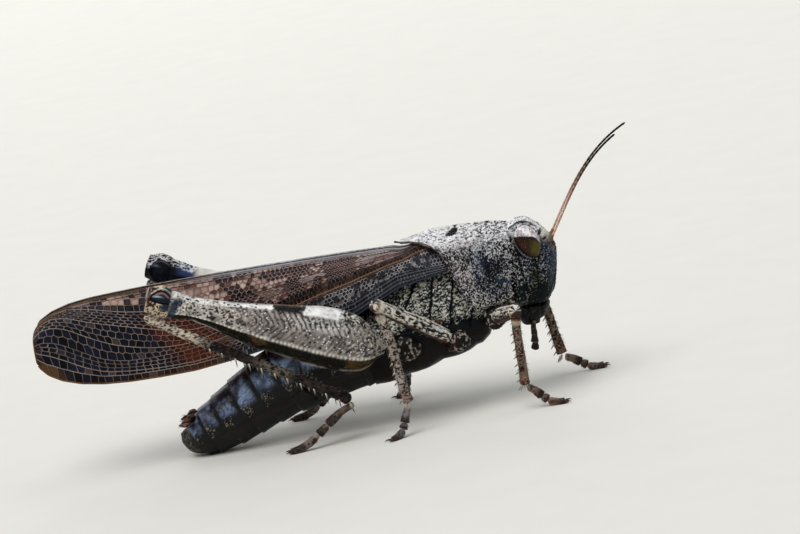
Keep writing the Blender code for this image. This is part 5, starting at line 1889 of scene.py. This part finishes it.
class Blade:
    """A forewing's outer surface: s runs from base to tip and q from the lower edge to the top edge."""

    def __init__(self, name, side, stations=130, levels=44):
        points, faces = solid(name)
        tree = tree_of(name)
        xs = np.linspace(points[:, 0].max() - 0.03, points[:, 0].min() + 0.03, stations)
        edges = np.concatenate([faces[:, [0, 1]], faces[:, [1, 2]], faces[:, [2, 0]]])
        cuts = [cut_heights(points, edges, x) for x in xs]
        low, high = (np.array([pick(z) for z in cuts]) for pick in (np.min, np.max))
        q = np.linspace(0, 1, levels)
        rise = 1 - (1 - q) ** 1.25
        z = low[:, None] + (high - low)[:, None] * (0.005 + 0.985 * rise)
        y = np.full(z.shape, np.nan)
        outward = np.array([0.0, float(SIDES[side]), 0.0])
        for i, j in itertools.product(range(stations), range(levels)):
            y[i, j] = reach(tree, np.array([xs[i], -4.0 * SIDES[side], z[i, j]]), outward, 16.0) - 4.0
        for i in range(stations):
            known = np.flatnonzero(~np.isnan(y[i]))
            y[i] = np.interp(q, q[known], y[i, known])
        y = smoothed(y, 3, wrap=False)
        tuck = ramp(3.0, 4.6, xs)[:, None] * ramp(0.45, 1.0, q)
        z = z + (np.maximum(9.2, z) - z) * tuck
        y = y * (1 - 0.75 * tuck)
        self.table = np.stack([np.repeat(xs[:, None], levels, axis=1), SIDES[side] * y, z], axis=2)
        self.side = SIDES[side]
        # The root carries on forwards and inwards, to lie under the pronotum.
        steps = [np.array([step, -0.35 * self.side * step, 0.0]) for step in ROOT_REACH]
        self.table = np.concatenate([self.table[:1] + step for step in steps] + [self.table])
        self.heights = high - low
        down = np.gradient(self.table, axis=0)
        across = np.gradient(self.table, axis=1)
        normals = unit(np.cross(down, across))
        self.normals = normals * np.sign(normals[..., 1:2] * self.side + 1e-9)

    def from_outline(self, s, q):
        """Distance from the nearest edge of the wing, in mm."""
        height = np.interp(s, np.linspace(0, 1, len(self.heights)), self.heights)
        return np.minimum(np.minimum(q, 1 - q) * height, (1 - s) * WING_LENGTH)

    def at(self, s, q, lift=0.0):
        """Places on the blade at s and q, lifted off it outwards by lift mm."""
        rows = np.clip(s, 0, 1) * (len(self.table) - 1)
        columns = np.clip(q, 0, 1) * (self.table.shape[1] - 1)
        lift = np.asarray(lift)[..., None] if np.ndim(lift) else lift
        return sampled(self.table, rows, columns) + unit(sampled(self.normals, rows, columns)) * lift


def net_stations():
    """Shares along the wing where half-cells start, closer at the base than at the tip."""
    shares, s = [], NET_SPAN[0]
    while s < NET_SPAN[1]:
        shares.append(s)
        s += 0.5 * np.interp(s, *np.array(CELL_LENGTHS).T) / WING_LENGTH
    return np.array(shares)


def junctions():
    """The net's knots as s and q, one row for each rail, zigzagging into six-sided cells near the base."""
    shares = net_stations()
    s, q = np.zeros((RAIL_COUNT + 1, len(shares))), np.zeros((RAIL_COUNT + 1, len(shares)))
    for r in range(RAIL_COUNT + 1):
        number = np.arange(len(shares))
        wobble = (hashed(number, r, 0, 5) - 0.5) * 0.8
        step = np.gradient(shares)
        s[r] = shares + wobble * step * (0 < r < RAIL_COUNT)
        base = rail(r, s[r])
        gap = (rail(min(r + 1, RAIL_COUNT), s[r]) - rail(max(r - 1, 0), s[r])) / 2
        up = np.where((number + r) % 2 == 0, 1, -1)
        amount = np.interp(s[r], (0.0, 0.45, 0.72, 1.0), (0.2, 0.22, 0.1, 0.07))
        long_vein = r in RAIL_PLACES.values() or r in (0, RAIL_COUNT)
        bump = (hashed(number, r, 3, 9) - 0.5) * 1.2
        q[r] = base + gap * (up * amount + bump * amount) * (0.15 if long_vein else 1.0)
    q[0], q[-1] = 0, 1
    return s, np.clip(q, 0, 1)


def wing_map(s, q):
    """Places on the wing laid flat, in mm."""
    return np.stack([s * WING_LENGTH, q * WING_DEPTH, 0 * s], axis=-1)


def blotches(s, q):
    """The slow pattern of pale and dark blotches over the wing, from 0 to 1."""
    return ramp(0.3, 0.7, noise(wing_map(s, q) * np.array([1, 1.2, 1]), 0.75, 3, 2))


def cell_colours(s, q, edge, own, other):
    """The membrane's colour in cells at s, q. own and other are each cell's own random numbers."""
    radius, media = curve_at(LONG_VEINS["radius"], s), curve_at(LONG_VEINS["media"], s)
    cubitus = curve_at(LONG_VEINS["cubitus"], s)
    upper = ramp(0.0, 0.04, q - cubitus) * ramp(0.5, 0.25, s)
    value = 0.6 * blotches(s, q) + 0.4 * own + 0.08 * upper
    dark = tint(srgb(20, 13, 20), srgb(46, 30, 36), other)
    tan = tint(srgb(66, 41, 34), srgb(104, 70, 58), other)
    pale = tint(srgb(126, 101, 93), srgb(186, 162, 151), other)
    pale = tint(pale, srgb(158, 152, 153), 0.7 * upper)
    colour = tint(dark, tan, ramp(0.46, 0.53, value))
    colour = tint(colour, pale, ramp(0.63, 0.68, value))
    above = band(q, radius + 0.008, media - 0.008, 0.008) * ramp(0.0, 0.03, s) * ramp(0.56, 0.48, s)
    colour = tint(colour, tint(srgb(14, 11, 13), srgb(58, 40, 30), other**3), 0.92 * above)
    costal = ramp(radius + 0.005, radius - 0.02, q) * ramp(0.6, 0.5, s)
    blue = tint(srgb(15, 15, 19), srgb(48, 48, 53), other)
    blue = tint(
        blue,
        srgb(126, 123, 126),
        0.8 * ramp(0.78, 0.84, own) * ramp(0.25, 0.6, q / np.maximum(radius, 0.05)),
    )
    blue = tint(blue, srgb(42, 47, 57), 0.8 * ramp(0.12, 0.02, q) + 0.8 * ramp(0.1, 0.03, s))
    colour = tint(colour, blue, costal)
    apex = ramp(0.53, 0.6, s - 0.16 * (q - 0.4))
    smoke = tint(srgb(7, 8, 13), srgb(22, 27, 42), other)
    smoke = tint(smoke, srgb(70, 64, 62), 0.8 * ramp(0.93, 0.95, own))
    top_share = ramp(0.02, 0.1, q - curve_at(LONG_VEINS["postcubitus"], s) + 0.1 * ramp(0.85, 0.95, s))
    top = tint(srgb(36, 26, 28), srgb(158, 130, 118), ramp(0.42, 0.6, value))
    smoke = tint(smoke, top, top_share * ramp(0.99, 0.9, s))
    red = ramp(
        0.3, 0.8, spot(s, q, (0.615, 0.3), (0.085, 0.34)) + 0.9 * spot(s, q, (0.69, 0.6), (0.05, 0.2))
    )
    smoke = tint(smoke, tint(srgb(46, 18, 12), srgb(86, 38, 20), other), 0.9 * red)
    return tint(tint(colour, smoke, apex), rim_colour(s, q, other), 0.9 * rim_share(s, edge))


def rim_share(s, edge):
    """1 in the brown margin that runs round the wing's tip and under it, narrow below and above."""
    width = RIM_WIDTH * (0.45 + 0.55 * ramp(0.86, 0.97, s))
    return ramp(width * 1.15, width * 0.8, edge) * ramp(0.5, 0.7, s)


def rim_colour(s, q, other):
    """Amber brown, with a golden mark at the very tip."""
    amber = tint(srgb(56, 39, 26), srgb(104, 74, 44), other)
    gold = spot(s, q, (0.98, 0.62), (0.025, 0.17)) + spot(s, q, (0.98, 0.3), (0.025, 0.15))
    return tint(amber, tint(srgb(176, 138, 86), srgb(116, 84, 48), other), ramp(0.2, 0.6, gold))


def vein_colours(s, q, edge):
    """Thin veins: pale over the dark blotches and dark over the pale ones, grey in front, pale in the tip."""
    radius = curve_at(LONG_VEINS["radius"], s)
    cloud = blotches(s, q)
    colour = tint(srgb(138, 116, 108), srgb(104, 80, 74), ramp(0.4, 0.7, cloud))
    media = curve_at(LONG_VEINS["media"], s)
    above = band(q, radius + 0.01, media - 0.01, 0.01) * ramp(0.56, 0.48, s)
    colour = tint(colour, srgb(48, 33, 26), 0.9 * above)
    pale_net = ramp(0.35, 0.65, noise(wing_map(s, q), 0.24, 12))
    costal = tint(srgb(56, 57, 63), srgb(166, 163, 165), pale_net)
    colour = tint(colour, costal, ramp(radius, radius - 0.03, q) * ramp(0.6, 0.5, s))
    colour = tint(colour, srgb(50, 55, 66), ramp(0.13, 0.03, q) * ramp(0.5, 0.4, s))
    apex = ramp(0.53, 0.6, s - 0.16 * (q - 0.4))
    thin = tint(srgb(128, 113, 106), srgb(96, 84, 80), noise(wing_map(s, q), 0.7, 8))
    colour = tint(colour, thin, apex)
    red = ramp(0.2, 0.7, spot(s, q, (0.6, 0.25), (0.08, 0.3)))
    colour = tint(colour, srgb(112, 66, 38), 0.7 * apex * red)
    return tint(colour, srgb(92, 66, 42), 0.9 * rim_share(s, edge))


def fleck_colours(membrane, s):
    """Flecks within the cells: dark in pale cells, and brown in the dark ones of the wing's front half."""
    bright = ramp(0.05, 0.2, membrane.max(axis=-1))
    fleck = tint(membrane, srgb(150, 130, 120), 0.3 * ramp(0.62, 0.5, s))
    return tint(fleck, srgb(44, 31, 31), bright)


# Each ring's place and height. A place is in vein half widths from the cell's border, or, below 0, a share
# of the way to the cell's middle.
CELL_RINGS = ((0.0, VEIN_HEIGHT), (1.0, 0.7 * VEIN_HEIGHT), (1.7, 0.0), (-0.62, 0.004))


def cell_corners(stations):
    """The six knots of every cell, as pairs of rail and station numbers."""
    corners = []
    for r in range(RAIL_COUNT):
        for m in range(r % 2, stations - 2, 2):
            corners.append([(r, m), (r, m + 1), (r, m + 2), (r + 1, m + 2), (r + 1, m + 1), (r + 1, m)])
    return np.array(corners)


def cell_faces(cells, rings, flip):
    """Quads between the rings of each cell, and triangles from its last ring to its middle point."""
    c, k, e = numbered(cells, rings - 1, 6)
    quads = c * rings * 6 + (k + np.array([0, 0, 1, 1])) * 6 + (e + np.array([0, 1, 1, 0])) % 6
    c, e = numbered(cells, 6)
    last = c * rings * 6 + (rings - 1) * 6
    fans = np.concatenate([last + e, last + (e + 1) % 6, cells * rings * 6 + c], axis=1)
    return (quads[:, ::-1], fans[:, ::-1]) if flip else (quads, fans)


def wing_chart(s, q):
    """The flat map's place, in mm, of every s and q in turn."""
    return np.stack([s.reshape(-1) * WING_LENGTH, q.reshape(-1) * CHART_DEPTH], axis=1)


def make_net(piece, blade):
    """Every cell as a raised border and a sunken middle: six corners, in rings towards the cell's centre."""
    s, q = junctions()
    corners = cell_corners(s.shape[1])
    cs, cq = s[corners[..., 0], corners[..., 1]], q[corners[..., 0], corners[..., 1]]
    flat = blade.at(cs, cq)
    tall = np.linalg.norm(flat[:, 1] - flat[:, 4], axis=1)
    long = np.linalg.norm(flat[:, 0] - flat[:, 2], axis=1)
    keep = (tall > 0.045) & (long > 0.05)
    cs, cq, tall, long = cs[keep], cq[keep], tall[keep], long[keep]
    ms, mq = cs.mean(axis=1), cq.mean(axis=1)
    number = np.arange(len(ms))
    own, other = hashed(number, 0, 0, NET_SEED), hashed(number, 1, 0, NET_SEED)
    membrane = cell_colours(ms, mq, blade.from_outline(ms, mq), own, other)
    veins = vein_colours(cs, cq, blade.from_outline(cs, cq))
    short = np.minimum(tall, long)
    inset = np.minimum(VEIN_HALF_WIDTH, VEIN_SHARE * short) / (0.5 * short)
    rings_s, rings_q, heights, colours, covers = [], [], [], [], []
    for depth, height in CELL_RINGS:
        share = np.clip(depth * inset, 0, 0.5)[:, None] if depth >= 0 else -depth
        rings_s.append(cs + (ms[:, None] - cs) * share)
        rings_q.append(cq + (mq[:, None] - cq) * share)
        heights.append(np.full(cs.shape, height))
        inside = depth < 0 or depth > 1.5
        shade = 1.0 if depth < 0 else 0.8
        colours.append(np.broadcast_to(membrane[:, None] * shade, veins.shape) if inside else veins)
        covers.append(np.full(cs.shape, 0.45 if inside else 0.05))
    rings_s, rings_q, heights, colours, covers = (
        np.stack(parts, axis=1) for parts in (rings_s, rings_q, heights, colours, covers)
    )
    middle = blade.at(ms, mq, 0.008)
    cells = len(ms)
    points = np.concatenate([blade.at(rings_s, rings_q, heights).reshape(-1, 3), middle])
    quads, fans = cell_faces(cells, len(CELL_RINGS), blade.side > 0)
    chart = np.concatenate([wing_chart(rings_s, rings_q), wing_chart(ms, mq)])
    paints = look(
        np.concatenate([colours.reshape(-1, 3), membrane]),
        np.concatenate([fleck_colours(colours, cs[:, None]).reshape(-1, 3), fleck_colours(membrane, ms)]),
        np.concatenate([covers.reshape(-1), np.full(cells, 0.45)]),
        np.concatenate([np.full(heights.size, 0.42), np.full(cells, 0.34)]),
    )
    start = piece.count
    piece.add(points, quads, chart[quads], paints)
    piece.corners.append((fans + start).reshape(-1))
    piece.sizes.append(np.full(len(fans), 3))
    lowest = chart[quads].reshape(-1, 2).min(axis=0)
    piece.charts[-1] = np.concatenate([piece.charts[-1], chart[fans].reshape(-1, 2) - lowest])


def add_vein(piece, blade, s, q, radius, colour, lift=0.3):
    """A round vein lying on the blade along s, q."""
    line = blade.at(s, q, radius * lift)
    steps = len(s)
    radii = radius * ramp(-0.01, 0.03, np.linspace(0, 1, steps))
    tones = np.broadcast_to(colour, (1, steps, 3))
    piece.bars(line[None], radii[None], look(tones, None, 0.2, 0.4), sides=6)


def make_forewing(side):
    """The folded forewing: a net with coloured cells, stout long veins, edges, a ridge and an underside."""
    name = f"forewing_{side}"
    blade = Blade(name, side)
    piece = Piece(f"{name}_net")
    make_net(piece, blade)
    s = np.linspace(0.004, 0.996, 240)
    add_long_veins(piece, blade, s)
    add_edges(piece, blade, s)
    add_ridge(piece, blade)
    add_underside(piece, blade)
    piece.finish(MATERIALS["wing"], [name])


def add_long_veins(piece, blade, s):
    """The long veins, stout and paired in two browns at the radius, and fine parallel ones below it."""
    apex = ramp(0.5, 0.62, s)
    for name, path in LONG_VEINS.items():
        q = curve_at(path, s)
        if name == "radius":
            add_vein(piece, blade, s, q, 0.034 - 0.012 * apex, tint(srgb(126, 98, 78), LONG_VEIN_TIP, apex))
            below = np.clip(q - 0.03 * (1 - apex), 0, 1)
            add_vein(
                piece, blade, s, below, 0.034 - 0.012 * apex, tint(srgb(82, 56, 42), LONG_VEIN_TIP, apex)
            )
        else:
            tone = srgb(58, 66, 82) if name in ("costa", "subcosta") else srgb(58, 54, 64)
            add_vein(piece, blade, s, q, 0.022, tint(tone, LONG_VEIN_TIP, apex))
    for k in range(7):
        part = s[s < 0.45 - 0.03 * k]
        q = curve_at(LONG_VEINS["subcosta"], part) * (0.14 + 0.16 * k)
        tone = srgb(92, 95, 102) if k % 2 else srgb(22, 23, 29)
        add_vein(piece, blade, part, q, 0.024, tone)


def add_edges(piece, blade, s):
    """The stout veins along the lower and top edges, and round the tip."""
    low = tint(srgb(52, 58, 72), srgb(98, 68, 42), ramp(0.5, 0.62, s))
    top = tint(srgb(140, 140, 146), srgb(84, 66, 52), ramp(0.5, 0.66, s))
    add_vein(piece, blade, s, 0 * s, 0.05, low, lift=-0.4)
    add_vein(piece, blade, s, 0 * s + 1, 0.075 - 0.03 * ramp(0.5, 0.7, s), top, lift=-0.1)
    add_vein(
        piece,
        blade,
        s,
        0 * s + 0.965,
        0.035,
        tint(srgb(128, 126, 130), srgb(76, 62, 54), ramp(0.6, 0.7, s)),
    )
    add_vein(piece, blade, s, 0 * s + 0.925, 0.026, srgb(34, 30, 36))
    q = np.linspace(0, 1, 24)
    add_vein(piece, blade, 0 * q + 0.997, q, 0.05, srgb(88, 62, 38), lift=-0.4)
    add_vein(piece, blade, 0 * q + 0.003, q, 0.06, srgb(60, 70, 84), lift=-0.2)


def add_ridge(piece, blade, rows=260, columns=14):
    """The anal fold that closes the back, from the top edge to the midline, the left over the right."""
    s = np.linspace(0.002, 0.985, rows)
    edge = blade.at(s, 0 * s + 1.0)
    over = blade.side > 0
    inner = np.where(over, -0.28, 0.12) * ramp(0.0, 0.06, 1 - s) * np.sign(blade.side)
    middle = (
        edge * [1, 0, 1] + np.stack([0 * s, blade.side * inner, 0 * s + (0.1 if over else 0.03)], axis=1)
    )
    share = np.linspace(0, 1, columns)
    points = edge[:, None] * (1 - share)[:, None] + middle[:, None] * share[:, None]
    points[..., 2] += 0.05 * np.sin(math.pi * share)
    width = share * 0.8 + 0 * s[:, None]
    flat = np.stack([s[:, None] * WING_LENGTH + 0 * share, width, 0 * width], axis=2)
    cells = np.abs(np.sin(s * 150))[:, None] * ramp(0.02, 0.2, np.abs(share - 0.5))
    mottle = granular(flat, 0.16, 0.55, 15)
    grey = tint(srgb(64, 56, 60), srgb(150, 146, 150), mottle)
    brown = tint(srgb(30, 24, 26), srgb(120, 98, 86), mottle)
    colour = tint(grey, brown, ramp(0.45, 0.6, s)[:, None])
    colour = tint(colour, BLACK, 0.35 * hump(cells, 0, 0.25))
    piece.grid(points, look(colour, WHITE, 0.06, 0.42), towards=(0, 0, 1))


def add_underside(piece, blade, rows=220, columns=56):
    """The wing's inner face: dark membrane with the same long veins, and cross veins between them."""
    s, q = np.meshgrid(np.linspace(0, 1, rows), np.linspace(0, 1, columns), indexing="ij")
    points = blade.at(s, q, -WING_THICKNESS)
    veins = sum(hump(q, curve_at(path, s), 0.012) for path in LONG_VEINS.values())
    rank = np.floor(q * RAIL_COUNT)
    veins = (
        veins + 0.7 * hump(np.sin(s * 150 + 2.4 * rank), 1, 0.12)
        + 0.6 * hump(q * RAIL_COUNT - rank, 0.5, 0.1)
    )
    shade = tint(
        tint(srgb(58, 42, 40), srgb(92, 66, 56), noise(points, 0.5, 4, 2)),
        srgb(24, 24, 32),
        ramp(0.55, 0.7, s),
    )
    colour = tint(shade, srgb(128, 108, 96), 0.6 * np.clip(veins, 0, 1))
    piece.grid(points, look(colour, srgb(120, 100, 88), 0.12, 0.4), towards=(0, -blade.side, 0))


def make_hindwing(side, rows=120, columns=56):
    """The folded fan under the forewing: lengthwise pleats, red near the body and dark at the tip."""
    name = f"hindwing_{side}"
    points, _ = solid(name)
    low, high = points.min(axis=0), points.max(axis=0)
    line = axis_of(name, np.array([6.0, low[1], high[2]]))
    shell = Shell([name], line, SIDES[side], 60, 48, 2)
    shares, turns = grid_shares(rows, columns)
    points = shell.grid(shares, turns)
    pleat = np.sin(turns * math.tau * 12)[None, :]
    s = shares[:, None] + 0 * turns
    cross = hump(np.sin(s * 130 + 3 * pleat), 1, 0.15)
    colour = tint(srgb(168, 46, 28), srgb(120, 30, 22), noise(points, 0.6, 3))
    colour = tint(colour, srgb(30, 24, 26), ramp(0.62, 0.75, s + 0.05 * pleat))
    colour = tint(colour, srgb(70, 36, 28), 0.6 * ramp(0.5, 0.9, pleat) + 0.3 * cross)
    ends = ramp(0, 0.03, s) * ramp(1, 0.97, s)
    body = lifted(points, (0.03 * pleat + 0.01 * cross) * ends - 0.03, wrap=True)
    piece = Piece(f"{name}_fan")
    piece.grid(body, look(colour, srgb(196, 120, 90), 0.15, 0.4), wrap=True, caps=(0, -1))
    piece.finish(MATERIALS["wing"], [name])


for side in SIDES:
    make_forewing(side)
    make_hindwing(side)


# ---------------------------------------------------------------- stage, light and camera

CAMERA_DISTANCE = 230.0
CAMERA_HEIGHT_ANGLE = math.radians(10)
CAMERA_SIDE_ANGLE = math.radians(3)
CAMERA_ROLL = math.radians(11)
CAMERA_LENS, CAMERA_SENSOR = 194.3, 36.0
AIM_SHARES = np.array([0.6022, 0.5, 0.599])
FLOOR_FLAT, FLOOR_EDGE, FLOOR_RISE = 700.0, 1500.0, 700.0


def box_point(shares):
    """A place in mm, as shares of the way through the whole animal's box."""
    low, high = (np.array(corner) / MM for corner in CAD_BOX)
    return low + np.asarray(shares) * (high - low)


def make_camera():
    """The photograph's view: of the side, from a little above, rolled as the photo's slope is."""
    side, height = CAMERA_SIDE_ANGLE, CAMERA_HEIGHT_ANGLE
    back = np.array(
        [math.sin(side) * math.cos(height), -math.cos(side) * math.cos(height), math.sin(height)]
    )
    level = np.array([math.cos(side), math.sin(side), 0.0])
    rise = np.cross(back, level)
    right = math.cos(CAMERA_ROLL) * level - math.sin(CAMERA_ROLL) * rise
    top = math.sin(CAMERA_ROLL) * level + math.cos(CAMERA_ROLL) * rise
    data = bpy.data.cameras.new("camera")
    data.lens, data.sensor_width = CAMERA_LENS, CAMERA_SENSOR
    data.clip_start, data.clip_end = 0.001, 20.0
    camera = bpy.data.objects.new("camera", data)
    bpy.context.scene.collection.objects.link(camera)
    place = box_point(AIM_SHARES) + back * CAMERA_DISTANCE
    turn = np.stack([right, top, back], axis=1)
    camera.matrix_world = Matrix.Translation(Vector(place * MM)) @ Matrix(turn.tolist()).to_4x4()
    bpy.context.scene.camera = camera


def make_stage():
    """A pale round floor, flat under and around the animal, that curves up into its own backdrop."""
    rings = np.concatenate([np.linspace(0.5, FLOOR_FLAT, 24), np.linspace(FLOOR_FLAT, FLOOR_EDGE, 33)[1:]])
    rise = FLOOR_RISE * (np.maximum(rings - FLOOR_FLAT, 0) / (FLOOR_EDGE - FLOOR_FLAT)) ** 2
    turn = np.linspace(0, math.tau, 96, endpoint=False)
    points = np.stack(
        [rings[:, None] * np.cos(turn), rings[:, None] * np.sin(turn), rise[:, None] + 0 * turn], axis=2
    )
    mesh = bpy.data.meshes.new("floor")
    rows, columns = points.shape[:2]
    faces = []
    for i, j in itertools.product(range(rows - 1), range(columns)):
        inner, outer, right = i * columns, (i + 1) * columns, (j + 1) % columns
        faces.append((inner + j, outer + j, outer + right, inner + right))
    faces.append(tuple(range(columns)))
    mesh.from_pydata((points.reshape(-1, 3) * MM).tolist(), [], faces)
    mesh.polygons.foreach_set("use_smooth", np.ones(len(faces), bool))
    floor = bpy.data.objects.new("floor", mesh)
    bpy.context.scene.collection.objects.link(floor)
    mesh.materials.append(floor_material())


def floor_material():
    """A pale, matt, faintly grained floor."""
    material, tree, shader = new_material("pale_floor")
    grain = node(tree, "ShaderNodeTexNoise", Scale=900.0, Detail=3.0)
    colour = mixed(tree, grain.outputs[0], srgb(214, 212, 206), srgb(220, 218, 212))
    tree.links.new(colour, shader.inputs["Base Color"])
    shader.inputs["Roughness"].default_value = 0.85
    return material


def make_light(name, place, size, power, colour=(1.0, 1.0, 1.0)):
    """A soft square lamp at a place in mm, turned to the animal. Power is in watts."""
    data = bpy.data.lights.new(name, "AREA")
    data.shape, data.size, data.energy, data.color = "SQUARE", size * MM, power, colour
    lamp = bpy.data.objects.new(name, data)
    bpy.context.scene.collection.objects.link(lamp)
    lamp.location = Vector(place) * MM
    aim = Vector(box_point((0.55, 0.5, 0.5)) * MM)
    lamp.rotation_euler = (aim - lamp.location).to_track_quat("-Z", "Y").to_euler()


def make_sun(name, towards, strength, spread, colour=(1.0, 1.0, 1.0)):
    """A lamp as wide as an overcast sky's bright part, which lights animal, floor and backdrop alike."""
    data = bpy.data.lights.new(name, "SUN")
    data.energy, data.angle, data.color = strength, math.radians(spread), colour
    lamp = bpy.data.objects.new(name, data)
    bpy.context.scene.collection.objects.link(lamp)
    lamp.rotation_euler = Vector(towards).to_track_quat("Z", "Y").to_euler()


def make_lights():
    """An overcast sky: a wide warm sun, a large lamp above, one behind and a bluish surround."""
    make_sun("key_sun", (-0.25, -0.42, 0.87), 2.1, 46.0, (1.0, 0.985, 0.96))
    make_light("sky_light", (30.0, 40.0, 380.0), 260.0, 0.25, (0.9, 0.95, 1.0))
    make_light("rim_light", (-60.0, 320.0, 200.0), 220.0, 0.25)
    world = bpy.data.worlds.new("studio")
    bpy.context.scene.world = world
    world.use_nodes = True
    background = world.node_tree.nodes["Background"]
    background.inputs["Color"].default_value = (0.86, 0.9, 0.95, 1.0)
    background.inputs["Strength"].default_value = 0.36


def set_tones():
    """Plain tones, so that black shell stays black beside a pale floor."""
    view = bpy.context.scene.view_settings
    view.view_transform = "Standard"
    view.look = "None"
    view.exposure = 0.0


set_tones()
make_camera()
make_stage()
make_lights()
